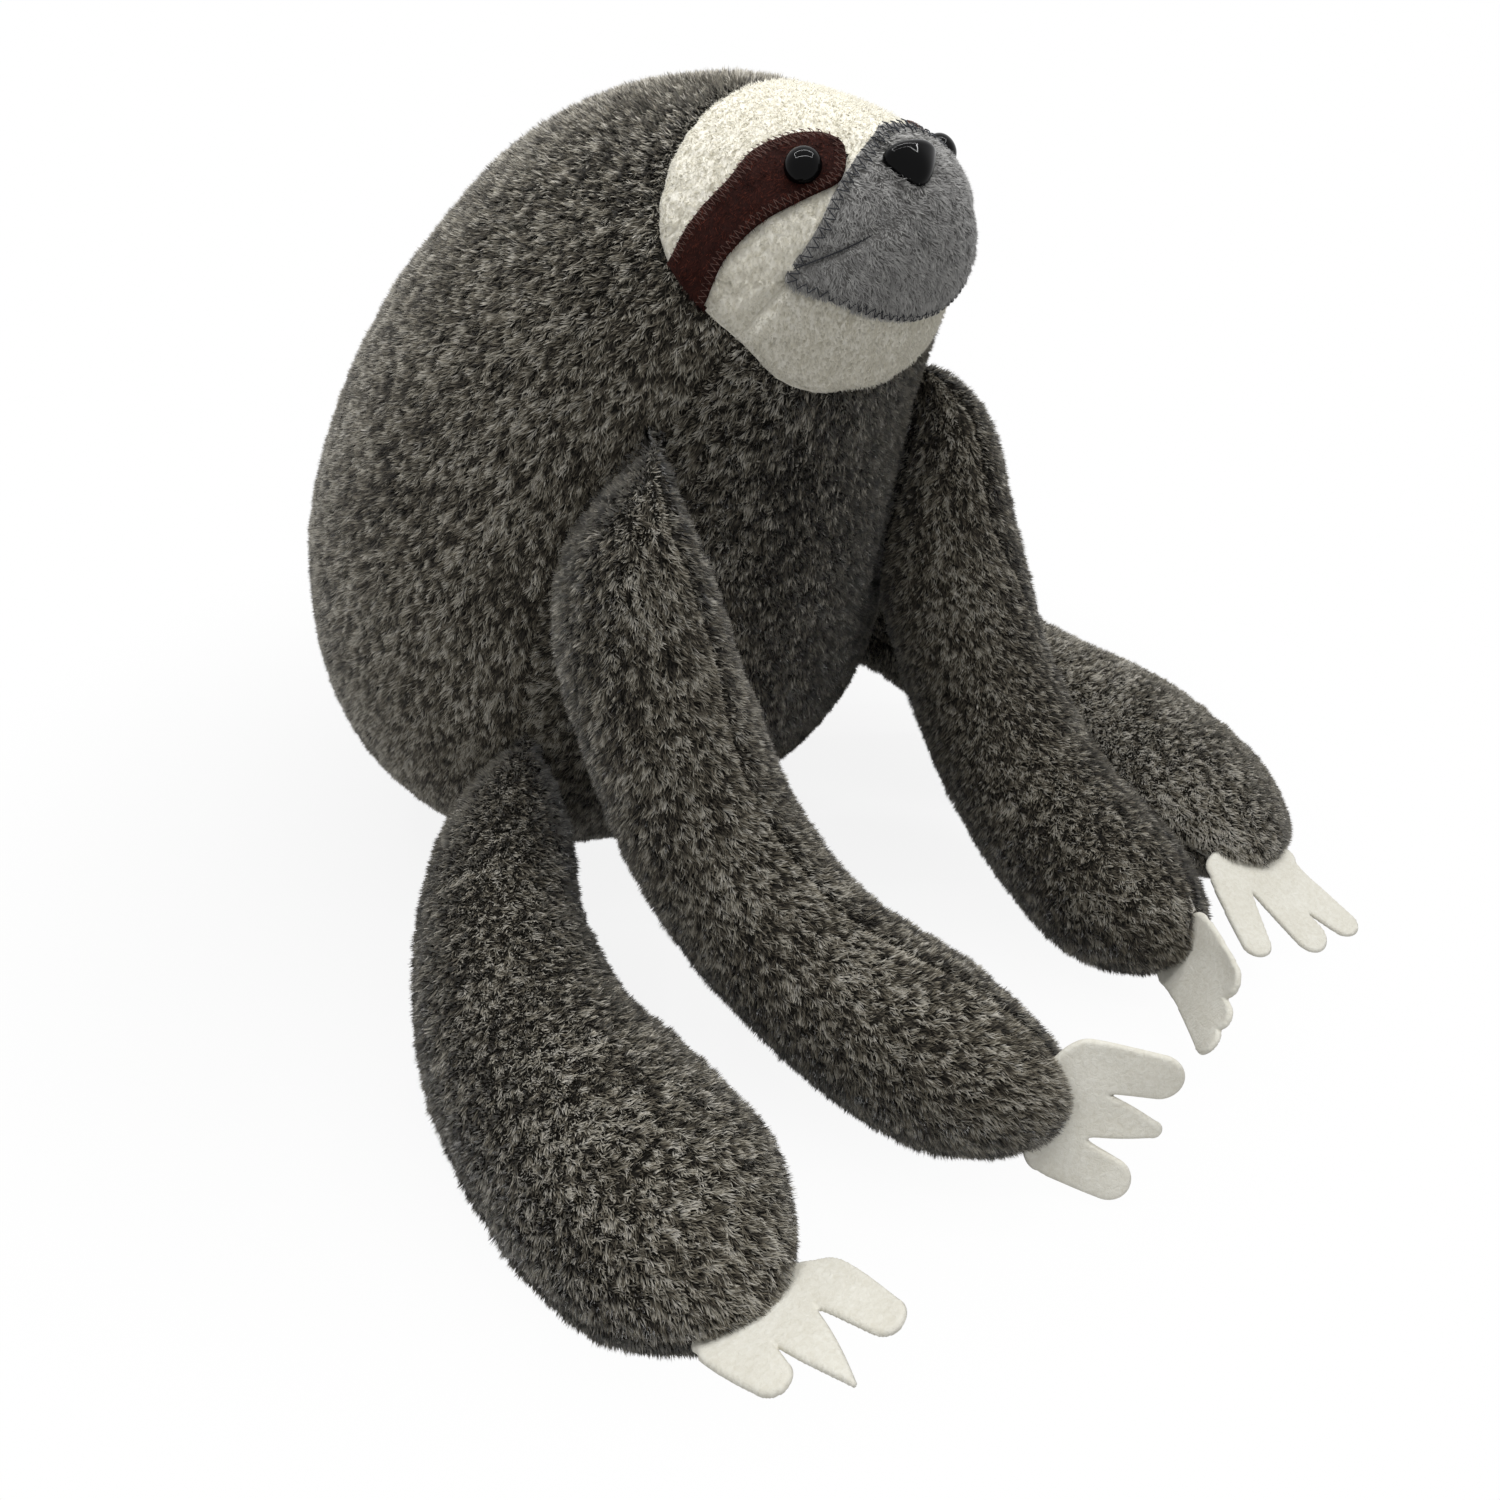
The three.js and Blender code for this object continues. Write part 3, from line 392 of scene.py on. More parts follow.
def seam_points(turn_at, start, stop, count):
    """The points of a seam on both sides of the body, from one row's share to another's."""
    share = np.linspace(start, stop, count)
    turn = turn_at(share)
    return np.concatenate([body_point(share, turn), body_point(share, -turn)])


def back_seam():
    """The points of the seam down the middle of the back, and over the crown to the face."""
    spine, crown = np.linspace(0.03, 1, 600), np.linspace(CROWN_SHARE, 1, 30)
    return np.concatenate([body_point(spine, np.full(600, np.pi)), body_point(crown, np.zeros(30))])


FACE_SEAM = seam_points(face_turn, CHIN_SHARE, CROWN_SHARE, 500)
SIDE_SEAM = seam_points(side_turn, 0.03, CORNER_SHARE, 500)
CHEEK_SEAM = seam_points(cheek_turn, CORNER_SHARE, CHEEK_SHARE, 60)
ROOTS = {(kind, side): root_line(kind, sign) for kind in LIMBS for side, sign in SIDES.items()}
PLUSH_SEAMS = np.concatenate([FACE_SEAM, SIDE_SEAM, back_seam(), *ROOTS.values()])
FLEECE_SEAMS = np.concatenate([FACE_SEAM, CHEEK_SEAM])


# ---- surfaces as grids, and meshes

def downward(across, normals):
    """The way down a fabric, square to the way across it."""
    down = np.cross(across, normals)
    return down * np.where(down[..., 2:] > 0, -1.0, 1.0)


class Sheet:
    """A grid of points with outward directions, nap directions, places in millimetres across and along the nap,
    and the distance to the nearest seam."""

    def __init__(self, points, normals, flow, places, seam):
        self.points, self.normals, self.places, self.seam = points, unit(normals), places, seam
        self.flow = unit(flow - self.normals * (flow * self.normals).sum(-1, keepdims=True))

    def moved(self, amount):
        """The same sheet, moved outwards by an amount."""
        return Sheet(self.points + self.normals * np.asarray(amount)[..., None], self.normals, self.flow,
                     self.places, self.seam)

    def cells(self):
        """Area of each cell of the grid."""
        p = self.points
        return np.linalg.norm(np.cross(p[1:, 1:] - p[:-1, :-1], p[1:, :-1] - p[:-1, 1:]), axis=-1) / 2

    def halves(self):
        """The same sheet cut across into two of like area."""
        grown = np.cumsum(self.cells().sum(1))
        cut = np.searchsorted(grown, grown[-1] / 2)
        fields = self.points, self.normals, self.flow, self.places, self.seam
        return [Sheet(*(field[part] for field in fields)) for part in (slice(0, cut + 1), slice(cut, None))]


def sheet_triangles(rows, columns):
    """Two triangles for each cell of a grid, as indices of its points."""
    i = np.arange(rows * columns).reshape(rows, columns)
    a, b, c, d = i[:-1, :-1].ravel(), i[:-1, 1:].ravel(), i[1:, 1:].ravel(), i[1:, :-1].ravel()
    return np.concatenate([np.stack([a, b, c], 1), np.stack([a, c, d], 1)])


def write_mesh(name, points, triangles, uv=None, normals=None):
    """A smooth mesh object from points in millimetres and triangles, with a UV map and normals per corner."""
    mesh = bpy.data.meshes.new(name)
    mesh.vertices.add(len(points))
    mesh.vertices.foreach_set("co", (points * MM).astype(np.float32).ravel())
    mesh.loops.add(len(triangles) * 3)
    mesh.loops.foreach_set("vertex_index", triangles.astype(np.int32).ravel())
    mesh.polygons.add(len(triangles))
    mesh.polygons.foreach_set("loop_start", np.arange(0, len(triangles) * 3, 3, dtype=np.int32))
    if uv is not None:
        mesh.uv_layers.new(name="UVMap").data.foreach_set("uv", uv.astype(np.float32).ravel())
    mesh.update(calc_edges=True)
    mesh.polygons.foreach_set("use_smooth", np.ones(len(triangles), bool))
    if normals is not None:
        mesh.normals_split_custom_set(normals.astype(np.float32))
    made = bpy.data.objects.new(name, mesh)
    bpy.context.scene.collection.objects.link(made)
    return made


def weld(points, triangles):
    """Joins points that lie closest together, and drops triangles that fold up."""
    _, index, back = np.unique(np.round(points / WELD).astype(np.int64), axis=0, return_index=True,
                               return_inverse=True)
    triangles = back.reshape(-1)[triangles]
    a, b, c = triangles.T
    return points[index], triangles[(a != b) & (b != c) & (a != c)]


def facing_out(points, triangles, normals):
    """Turns each triangle so that it faces the way of its outward direction."""
    a, b, c = points[triangles].transpose(1, 0, 2)
    wrong = (np.cross(b - a, c - a) * normals).sum(1) < 0
    return np.where(wrong[:, None], triangles[:, ::-1], triangles)


def sheets_mesh(name, sheets, thickness):
    """One mesh from several grids, welded where they meet, facing outwards and thickened inwards."""
    points, triangles, start = [], [], 0
    for sheet in sheets:
        flat = sheet.points.reshape(-1, 3)
        part = sheet_triangles(*sheet.points.shape[:2])
        part = facing_out(flat, part, sheet.normals.reshape(-1, 3)[part[:, 0]])
        points.append(flat)
        triangles.append(part + start)
        start += len(flat)
    piece = write_mesh(name, *weld(np.concatenate(points), np.concatenate(triangles)))
    wall = piece.modifiers.new("wall", "SOLIDIFY")
    wall.thickness = thickness * MM
    wall.offset = -1.0
    return piece


def closed_form(name, rings):
    """A closed form from rings that shrink to a point at both ends, facing outwards."""
    points, triangles = weld(rings.reshape(-1, 3), sheet_triangles(*rings.shape[:2]))
    a, b, c = (points[triangles[:, k]] - points.mean(0) for k in range(3))
    if (np.cross(a, b) * c).sum() < 0:
        triangles = triangles[:, ::-1]
    return write_mesh(name, points, triangles)


# ---- pile

THIN = 1.0
SWAY, SWAY_ALONE, RISE, RISE_ALONE = 1.3, 0.45, 0.45, 0.2
ROLL, LENGTH_TUFT, LENGTH_ALONE = 0.45, 0.25, 0.22
SEAM_SHORTER, SEAM_REACH, CLOUD_SIZE, TONE_STEP = 0.55, 1.7, 17.0, 0.006


def cell_mix(field, i, j, a, b):
    """Values of a grid's field at places inside its cells."""
    return (field[i, j] * (1 - a) * (1 - b) + field[i, j + 1] * a * (1 - b)
            + field[i + 1, j] * (1 - a) * b + field[i + 1, j + 1] * a * b)


def pile(name, sheets, seed, painted_lighting, density, length, width, lift, tuft, streak, tone):
    """Short flat fibres on a fabric, each one narrow triangle from its root to its tip.

    Roots are spread evenly over the cells. A fibre goes along the nap and up by the lift's angle. It leans with
    its tuft, which is a smooth random field of a few millimetres, and a little by itself, and is shorter at a
    seam. Its normals lean towards the fabric's, as light spreads between fibres. The UV map holds the fibre's
    tone across and the way from root to tip up.
    """
    random = np.random.default_rng(seed)
    corners, normals, tones = [], [], []
    for sheet in sheets:
        count = random.poisson(sheet.cells() * density * THIN)
        i, j = np.nonzero(count)
        times = count[i, j]
        i, j = np.repeat(i, times), np.repeat(j, times)
        total = len(i)
        a, b = random.random(total), random.random(total)
        root, up, flow, place = (cell_mix(field, i, j, a[:, None], b[:, None])
                                 for field in (sheet.points, sheet.normals, sheet.flow, sheet.places))
        up, flow = unit(up), unit(flow)
        seam = cell_mix(sheet.seam, i, j, a, b)
        sway = drift(place / tuft, 3)[:, None] * SWAY + random.normal(0, SWAY_ALONE, (total, 1))
        rise = lift + drift(place / tuft, 4) * RISE + random.normal(0, RISE_ALONE, total)
        rise = np.clip(rise, 0.08, 1.5)[:, None]
        way = unit((flow + np.cross(up, flow) * sway) * np.cos(rise) + up * np.sin(rise))
        reach = length * (1 + LENGTH_TUFT * drift(place / (tuft * 2), 5)
                          + random.uniform(-LENGTH_ALONE, LENGTH_ALONE, total))
        reach = reach * (1 - SEAM_SHORTER * np.exp(-(seam / SEAM_REACH) ** 2))
        side = unit(np.cross(way, up))
        roll = random.normal(0, ROLL, (total, 1))
        side = side * np.cos(roll) + np.cross(way, side) * np.sin(roll)
        half = side * (width / 2) * random.uniform(0.7, 1.3, (total, 1))
        face = unit(np.cross(half, way))
        outwards = np.where((face * up).sum(-1, keepdims=True) < 0, -1.0, 1.0)
        half, face = half * outwards, face * outwards
        corners.append(np.stack([root - half, root + half, root + way * reach[:, None]], 1))
        normals.append(np.repeat(unit(up * 1.0 + face * 0.4)[:, None], 3, 1))
        fields = (drift(place / np.array(streak), 6), drift(place / np.array(streak) * 2.1, 7),
                  drift(place / CLOUD_SIZE, 8), random.normal(0, 1, total))
        # Painted light and shade: the piece's tone shift is added to each fibre's tone
        tones.append(0.5 + painted_lighting + sum(share * field for share, field in zip(tone, fields)))
    corners, tones = np.concatenate(corners), np.clip(np.concatenate(tones), 0.02, 0.98)
    corners[..., 2] = np.maximum(corners[..., 2], 0.15)
    none = tones * 0
    uv = np.stack([tones - TONE_STEP, none, tones + TONE_STEP, none, tones, none + 1], 1)
    return write_mesh(name, corners.reshape(-1, 3), np.arange(len(tones) * 3).reshape(-1, 3), uv,
                      np.concatenate(normals).reshape(-1, 3))


# ---- materials

def plain(hex_colour):
    """A colour written in hex as the linear values that a node takes."""
    values = [int(hex_colour[k:k + 2], 16) / 255 for k in (0, 2, 4)]
    return [v / 12.92 if v <= 0.04045 else ((v + 0.055) / 1.055) ** 2.4 for v in values] + [1.0]


class Nodes:
    """A few short ways to place nodes in a material, a group or the world."""

    def __init__(self, tree):
        self.tree = tree

    def feed(self, node, values):
        """Sets a node's properties and inputs, or links an input where the value is a socket."""
        for key, value in values.items():
            if isinstance(value, bpy.types.NodeSocket):
                self.tree.links.new(value, node.inputs[key])
            elif isinstance(key, str) and key in node.bl_rna.properties:
                setattr(node, key, value)
            else:
                node.inputs[key].default_value = plain(value) if isinstance(value, str) else value
        return node

    def add(self, kind, **values):
        return self.feed(self.tree.nodes.new("ShaderNode" + kind), values)

    def math(self, kind, a, b):
        return self.feed(self.add("Math", operation=kind), {0: a, 1: b}).outputs[0]

    def mix(self, share, low, high):
        """A colour between two."""
        return self.feed(self.add("Mix", data_type="RGBA", Factor=share), {6: low, 7: high}).outputs[2]

    def spread(self, value, *ends, **values):
        """A value drawn out from one range, given by its ends, to another."""
        names = ("From Min", "From Max", "To Min", "To Max")
        return self.add("MapRange", Value=value, **dict(zip(names, ends)), **values).outputs[0]

    def place(self):
        """Places in the piece's own frame."""
        return self.add("TexCoord").outputs["Object"]

    def show(self, share, first, second):
        """Gives the material's output a blend of two surfaces."""
        blend = self.feed(self.add("MixShader"), {0: share, 1: first, 2: second})
        self.feed(self.tree.nodes["Material Output"], {0: blend.outputs[0]})

    def seen(self):
        """1 where the camera, a gloss or something clear looks, and 0 where light is gathered."""
        path = self.add("LightPath").outputs
        seen = self.math("MAXIMUM", path["Is Camera Ray"], path["Is Glossy Ray"])
        return self.math("MAXIMUM", seen, path["Is Transmission Ray"])


def shader_group(name, inputs, outputs):
    """An empty shared group with its sockets: its tree, its node helper, what it is given and its end."""
    tree = bpy.data.node_groups.new(name, "ShaderNodeTree")
    for sockets, way in ((inputs, "INPUT"), (outputs, "OUTPUT")):
        for socket, kind in sockets.items():
            tree.interface.new_socket(socket, in_out=way, socket_type="NodeSocket" + kind)
    return tree, Nodes(tree), tree.nodes.new("NodeGroupInput").outputs, tree.nodes.new("NodeGroupOutput")


def fibre_grain():
    """Shared group: cloudy and fine unevenness of matted fibres, as a shade and a height."""
    tree, made, given, end = shader_group("Fibre grain", {"Place": "Vector", "Size": "Float"},
                                          {"Shade": "Float", "Height": "Float"})
    fine = made.add("TexNoise", Vector=given["Place"], Scale=given["Size"], Detail=6.0, Roughness=0.62,
                    Distortion=0.6).outputs["Fac"]
    cloud = made.add("TexNoise", Vector=given["Place"], Scale=made.math("MULTIPLY", given["Size"], 0.12),
                     Detail=3.0, Roughness=0.5).outputs["Fac"]
    shade = made.math("ADD", made.math("MULTIPLY", fine, 0.65), made.math("MULTIPLY", cloud, 0.35))
    made.feed(end, {"Shade": shade, "Height": fine})
    return tree


def pile_shade():
    """Shared group: reads a fibre's tone and its way from root to tip off the UV map."""
    tree, made, given, end = shader_group("Pile shade", {"UV": "Vector"}, {"Tone": "Float", "Tip": "Float"})
    parts = made.feed(made.add("SeparateXYZ"), {0: given["UV"]}).outputs
    made.feed(end, {"Tone": parts[0], "Tip": made.math("POWER", parts[1], 0.8)})
    return tree


FIBRE_GRAIN, PILE_SHADE = fibre_grain(), pile_shade()


def finish_named(name):
    """A new material with a Principled surface, and its node helper."""
    made = bpy.data.materials.new(name)
    made.use_nodes = True
    return made, Nodes(made.node_tree), made.node_tree.nodes["Principled BSDF"]


def cloth_finish(name, dark, light, size, bump, roughness=0.95):
    """Matted cloth: its colour and bump follow the shared fibre grain."""
    made, nodes, surface = finish_named(name)
    grain = nodes.add("Group", node_tree=FIBRE_GRAIN, Size=size, Place=nodes.place()).outputs
    dents = nodes.add("Bump", Strength=bump, Distance=0.0006, Height=grain["Height"])
    nodes.feed(surface, {"Base Color": nodes.mix(nodes.spread(grain["Shade"], 0.34, 0.66), dark, light),
                         "Normal": dents.outputs[0], "Roughness": roughness, "Specular IOR Level": 0.2})
    return made


def pile_finish(name, tones, root_shade, sheen, through_share):
    """Fibres coloured along a ramp of tones, with painted shade that darkens them towards the root, and lit
    through as well as lit.
    """
    made, nodes, surface = finish_named(name)
    shade = nodes.add("Group", node_tree=PILE_SHADE, UV=nodes.add("UVMap").outputs[0]).outputs
    ramp = nodes.add("ValToRGB", Fac=shade["Tone"])
    stops = ramp.color_ramp.elements
    for k, (at, colour) in enumerate(tones):
        stop = stops[k] if k < 2 else stops.new(at)
        stop.position, stop.color = at, plain(colour)
    # Painted shade: the colour is scaled down from the tip to the root
    colour = nodes.feed(nodes.add("VectorMath", operation="SCALE", Scale=nodes.spread(shade["Tip"], 0.0, 1.0,
                                                                                      root_shade, 1.0)),
                        {0: ramp.outputs[0]}).outputs[0]
    nodes.feed(surface, {"Base Color": colour, "Roughness": 0.85, "Specular IOR Level": 0.2,
                         "Sheen Weight": sheen})
    nodes.show(through_share, surface.outputs[0], nodes.add("BsdfTranslucent", Color=colour).outputs[0])
    return made


def glossy_finish(name, dark, light):
    """Polished moulded plastic with faint marks of handling."""
    made, nodes, surface = finish_named(name)
    marks = nodes.add("TexNoise", Scale=900.0, Detail=4.0, Vector=nodes.place()).outputs["Fac"]
    nodes.feed(surface, {"Roughness": nodes.spread(marks, 0.3, 0.7, 0.006, 0.02), "Specular IOR Level": 0.09,
                         "Base Color": nodes.mix(marks, dark, light)})
    return made


def washer_finish():
    """Moulded washer plastic: pale, dull, with a fine grain."""
    made, nodes, surface = finish_named("washer plastic")
    grain = nodes.add("TexNoise", Scale=1600.0, Detail=3.0, Vector=nodes.place()).outputs["Fac"]
    dents = nodes.add("Bump", Strength=0.3, Distance=0.0001, Height=grain)
    nodes.feed(surface, {"Base Color": nodes.mix(grain, "cfcfca", "e0e0dc"), "Normal": dents.outputs[0],
                         "Roughness": 0.5})
    return made


# Cloths: dark and light colour, size of the grain and strength of the bump
# The cloth under the plush pile has the fabric's dark colour, painted darker still as the shade that falls between
# the pile's roots
PLUSH_CLOTH_WITH_PAINTED_SHADE = cloth_finish("plush cloth with painted shade", "12110e", "28251f", 900.0, 0.6)
FACE_CLOTH = cloth_finish("face fleece cloth", "e1ddcf", "f6f3e9", 900.0, 0.7)
MUZZLE_CLOTH = cloth_finish("muzzle fleece cloth", "5e5d5b", "7a7977", 900.0, 0.8)
PATCH_FELT = cloth_finish("eye patch felt", "1c0906", "35150e", 1200.0, 0.8)
CLAW_FELT = cloth_finish("claw felt", "dedacc", "f0eee4", 700.0, 0.55)
FILLING_FIBRE = cloth_finish("filling fibre", "e4e0d6", "f8f6f1", 260.0, 1.0)
PATCH_THREAD = cloth_finish("eye patch thread", "49302a", "755c54", 3000.0, 0.5, roughness=0.6)
MUZZLE_THREAD = cloth_finish("muzzle thread", "202226", "3c3e44", 3000.0, 0.5, roughness=0.6)
# Piles: tones with the two ends first, shade at the root, sheen and share of light that comes through
PLUSH_PILE = pile_finish("plush pile", [(0.0, "27231c"), (1.0, "f2ede2"), (0.3, "554e42"), (0.5, "938b79"),
                                        (0.72, "d8d2c2")], 0.14, 0.6, 0.12)
FACE_PILE = pile_finish("face fleece pile", [(0.0, "e3e0d3"), (1.0, "faf8ef"), (0.5, "f0ede2")], 0.84, 0.1,
                        0.5)
MUZZLE_PILE = pile_finish("muzzle fleece pile", [(0.0, "7c7b79"), (1.0, "e6e5e1"), (0.5, "b2b1af")], 0.65,
                          0.5, 0.2)
PATCH_PILE = pile_finish("eye patch fuzz", [(0.0, "1c0805"), (1.0, "7a3c2c"), (0.5, "3b160f")], 0.6, 0.1, 0.3)
TRIM_GLOSS = glossy_finish("polished trim", "050506", "040405")
WASHER_PLASTIC = washer_finish()


def dress(piece, finish, body, slot, *nodes):
    """Gives a piece its material and its body, and hides the nodes that it stands for; the slot is not used."""
    piece.data.materials.clear()
    piece.data.materials.append(finish)
    if body:
        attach(piece, body)
    if nodes:
        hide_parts(*nodes)
    return piece


# ---- body panels

def body_sheet(shares, inner, outer, columns, sign, nap, seams, calm):
    """One side of a body panel between two seam angles. The nap is a mix of going round the body and down it.
    A calm above zero makes soft unevenness, which fades out towards the face."""
    turn = sign * (inner[:, None] + (outer - inner)[:, None] * np.linspace(0, 1, columns)[None, :])
    share = np.broadcast_to(shares[:, None], turn.shape)
    points, normals = body_point(share, turn), body_normal(share, turn)
    held = np.clip(share, 0.01, 0.99)
    ringwise = unit(body_point(held, turn + 0.01 * sign) - body_point(held, turn - 0.01 * sign))
    down = downward(ringwise, normals)
    seam = nearest(points, seams)
    mean_radius, mean_height = 92.0, 330.0
    places = np.stack([turn * mean_radius, share * mean_height], -1)
    if nap[0] > nap[1]:
        places, ringwise = places[..., ::-1], ringwise * -sign
    if calm:
        away = 1 - np.exp(-(nearest(points, FACE_SEAM) / 22.0) ** 2)
        lumps = layers(places, (46.0, 0.9, 1), (21.0, 0.4, 2))
        narrow = np.minimum(body_ring(share)[0] / 40.0, 1)
        points = points + normals * (lumps * away * calm * narrow)[..., None]
    return Sheet(points, normals, ringwise * nap[0] + down * nap[1], places, seam)


def both_sides(*panel):
    """The right and left halves of a panel that crosses the middle."""
    return [body_sheet(*panel[:4], sign, *panel[4:]) for sign in (-1, 1)]


def rows_between(*breaks, step=0.0085):
    """Row shares between breaks, evenly spaced and with a row on each break."""
    parts = [np.linspace(a, b, max(int(round((b - a) / step)), 2) + 1)[:-1] for a, b in zip(breaks, breaks[1:])]
    return np.concatenate(parts + [np.array([breaks[-1]])])


def plush_panel(name, sheets, seed, painted_lighting, node):
    """A body panel of plush: its cloth, drawn in at the seams, and its pile in two parts."""
    skins = [sheet.moved(groove(sheet.seam, *BODY_GROOVE) - PLUSH_DEPTH) for sheet in sheets]
    dress(sheets_mesh(f"{name}_cloth", skins, CLOTH_WALL), PLUSH_CLOTH_WITH_PAINTED_SHADE, "body", "plush", node)
    for k, skin in enumerate(skins if len(skins) > 1 else skins[0].halves()):
        piece = pile(f"{name}_pile_{k + 1}", [skin], seed + 40 * k, painted_lighting, **PLUSH_FIBRES)
        dress(piece, PLUSH_PILE, "body", "plush")


def fleece_panel(name, sheets, seed):
    """A face panel of fleece, a little curly, with a short pile."""
    skins = [sheet.moved(groove(sheet.seam, *FLEECE_GROOVE) - FLEECE_DEPTH
                         + layers(sheet.places, (2.1, 0.3, 15), (1.1, 0.2, 16))) for sheet in sheets]
    dress(sheets_mesh(f"{name}_cloth", skins, FLEECE_WALL), FACE_CLOTH, "body", "face_fleece", f"{name}_panel")
    dress(pile(f"{name}_pile", skins, seed, 0.0, **FACE_FIBRES), FACE_PILE, "body", "face_fleece")


def make_body_panels():
    """Belly, two backs, face and chin, each between its own seams."""
    round_nap, down_nap, fleece_nap, fleece_step = (1.0, 0.12), (0.25, 1.0), (0.3, 1.0), 0.0035
    shares = rows_between(0.0, CHIN_SHARE, CORNER_SHARE)
    inner = np.where(shares > CHIN_SHARE, face_turn(shares), 0.0)
    sheets = both_sides(shares, inner, side_turn(shares), 40, round_nap, PLUSH_SEAMS, 1.0)
    plush_panel("belly", sheets, 11, BELLY_PAINTED_LIGHTING, "belly_panel")

    shares = rows_between(0.0, CORNER_SHARE, CROWN_SHARE, 1.0)
    inner = np.where(shares < CROWN_SHARE, side_turn(shares), 0.0)
    for side, sign in SIDES.items():
        sheet = body_sheet(shares, inner, np.full(len(shares), np.pi), 70, sign, down_nap, PLUSH_SEAMS, 1.0)
        plush_panel(f"back_{side}", [sheet], 20 + sign, BACK_PAINTED_LIGHTING, f"back_panel_{side}")

    low = rows_between(CORNER_SHARE, CHEEK_SHARE, step=fleece_step)
    high = rows_between(CHEEK_SHARE, CROWN_SHARE, step=fleece_step)
    shares, inner = np.concatenate([low, high]), np.concatenate([cheek_turn(low), 0 * high])
    fleece_panel("face", both_sides(shares, inner, face_turn(shares), 70, fleece_nap, FLEECE_SEAMS, 0.0), 31)

    shares = rows_between(CHIN_SHARE, CORNER_SHARE, CHEEK_SHARE, step=fleece_step)
    outer = np.where(shares < CORNER_SHARE, face_turn(shares), cheek_turn(shares))
    fleece_panel("chin", both_sides(shares, 0 * shares, outer, 70, fleece_nap, FLEECE_SEAMS, 0.0), 33)


make_body_panels()


# ---- patches on the face

def face_place(around, z, lift):
    """Point and outward direction of the face at a distance round it and a height, lifted off it."""
    share = share_at(z)
    turn = around / body_ring(share)[0]
    normals = body_normal(share, turn)
    return body_point(share, turn) + normals * np.asarray(lift)[..., None], normals


def patch_sheet(around, z, lift, nap):
    """A sheet on the face from the places of its grid, far from any seam."""
    points, normals = face_place(around, z, lift)
    across = np.gradient(points, axis=1)
    flow = unit(across) * nap[0] + unit(downward(across, normals)) * nap[1]
    return Sheet(points, normals, flow, np.stack([around, z], -1), np.full(around.shape, NO_SEAM))


def edge_fall(across, half, width):
    """From 1 inside to 0 at a patch's edge, along a quarter circle of a width."""
    near = np.clip(half * (1 - np.abs(across)) / width, 0, 1)
    return np.sqrt(np.maximum(1 - (1 - near) ** 2, 0))


def mouth_line(steps):
    """Half of the mouth's sewn dart, as places round the face and heights."""
    table = np.column_stack([np.linspace(0, 1, len(MOUTH)), MOUTH])
    return between_rows(table, np.linspace(0, 1, steps))


def mouth_dip(around, z):
    """How far the dart draws the muzzle in, a narrow valley in a wider one along the mouth that fades towards its
    inner end, and the distance to the mouth."""
    line = mouth_line(60)
    fade = np.clip(np.linspace(1.25, 0, len(line)), 0, 1) ** 0.7
    gap = (np.abs(around)[..., None] - line[:, 0]) ** 2 + (z[..., None] - line[:, 1]) ** 2
    away = np.sqrt(gap.min(-1))
    return -fade[gap.argmin(-1)] * (groove(away, 1.1, 1.0) + groove(away, 0.9, 4.0)), away


def muzzle_sheet():
    """The muzzle: rows from its lower edge to its top, puffed up a little and drawn in along the mouth."""
    t = np.linspace(0, 1, 90)
    t = t * 0.6 + (0.5 - 0.5 * np.cos(np.pi * t)) * 0.4
    s = np.linspace(-1, 1, 81)[None, :]
    half = (MUZZLE_HALF_WIDTH * between_rows(MUZZLE_ROWS, t)[:, 0])[:, None]
    z = (MUZZLE_BOTTOM + (MUZZLE_TOP - MUZZLE_BOTTOM) * t)[:, None] + 0 * s
    around = half * s
    ends = np.minimum(z - MUZZLE_BOTTOM, MUZZLE_TOP - z)
    fall = np.minimum(edge_fall(s, half, 2.0), np.sqrt(np.clip(ends / 1.6, 0, 1)))
    puff = np.clip(half * (1 - np.abs(s)) / 14, 0, 1) * np.clip(ends / 9, 0, 1)
    dip, away = mouth_dip(around, z)
    sheet = patch_sheet(around, z, 0.3 + 1.1 * fall + 0.8 * np.sin(puff * np.pi / 2) - dip, (0.35, 1.0))
    sheet.seam = away
    return sheet, around, z


def seam_around(z):
    """Distance round the face at which its seam lies at a height."""
    share = share_at(z)
    return face_turn(share) * body_ring(share)[0]


def eye_patch_grid(sign, rows=90, columns=21):
    """Places of an eye patch: rows between its upper and lower edge, from the inner end to the face's seam. The
    left one sits a little lower and further out, as sewn by hand."""
    t = 1 - (1 - np.linspace(0, 1, rows)) ** 1.25
    edges = between_rows(PATCH_EDGES, t)
    s = np.linspace(1, -1, columns)[None, :]
    upper, lower = edges[:, None, :2], edges[:, None, 2:]
    place = (upper + lower) / 2 + (upper - lower) / 2 * s[..., None]
    half = np.linalg.norm(edges[:, :2] - edges[:, 2:], axis=1)[:, None] / 2
    askew = max(sign, 0) * (1 - t)[:, None]
    around, height = place[..., 0] + 2.5 * askew, place[..., 1] - 1.8 * askew
    edge = seam_around(height) - 0.4
    fall = np.minimum(edge_fall(s, half, 1.2), np.sqrt(np.clip(t * 60, 0, 1))[:, None])
    lift = 0.2 + 1.0 * fall - np.minimum(np.maximum(around - edge, 0) * 0.5, 1.2)
    return sign * np.minimum(around, edge), height, lift


def thread(name, points, normals, thickness, finish, slot):
    """A thread along points: a five-sided tube whose sections stand square to the way it goes."""
    way = unit(np.gradient(points, axis=0))
    side = unit(np.cross(way, normals))
    up = np.cross(side, way)
    angle = whole_turn(6)[None, :, None]
    ring = (side[:, None] * np.cos(angle) + up[:, None] * np.sin(angle)) * thickness
    middle = points[:, None]
    tube = np.concatenate([middle[:1] + 0 * ring[:1], middle + ring, middle[-1:] + 0 * ring[-1:]])
    dress(closed_form(name, tube), finish, "body", slot)


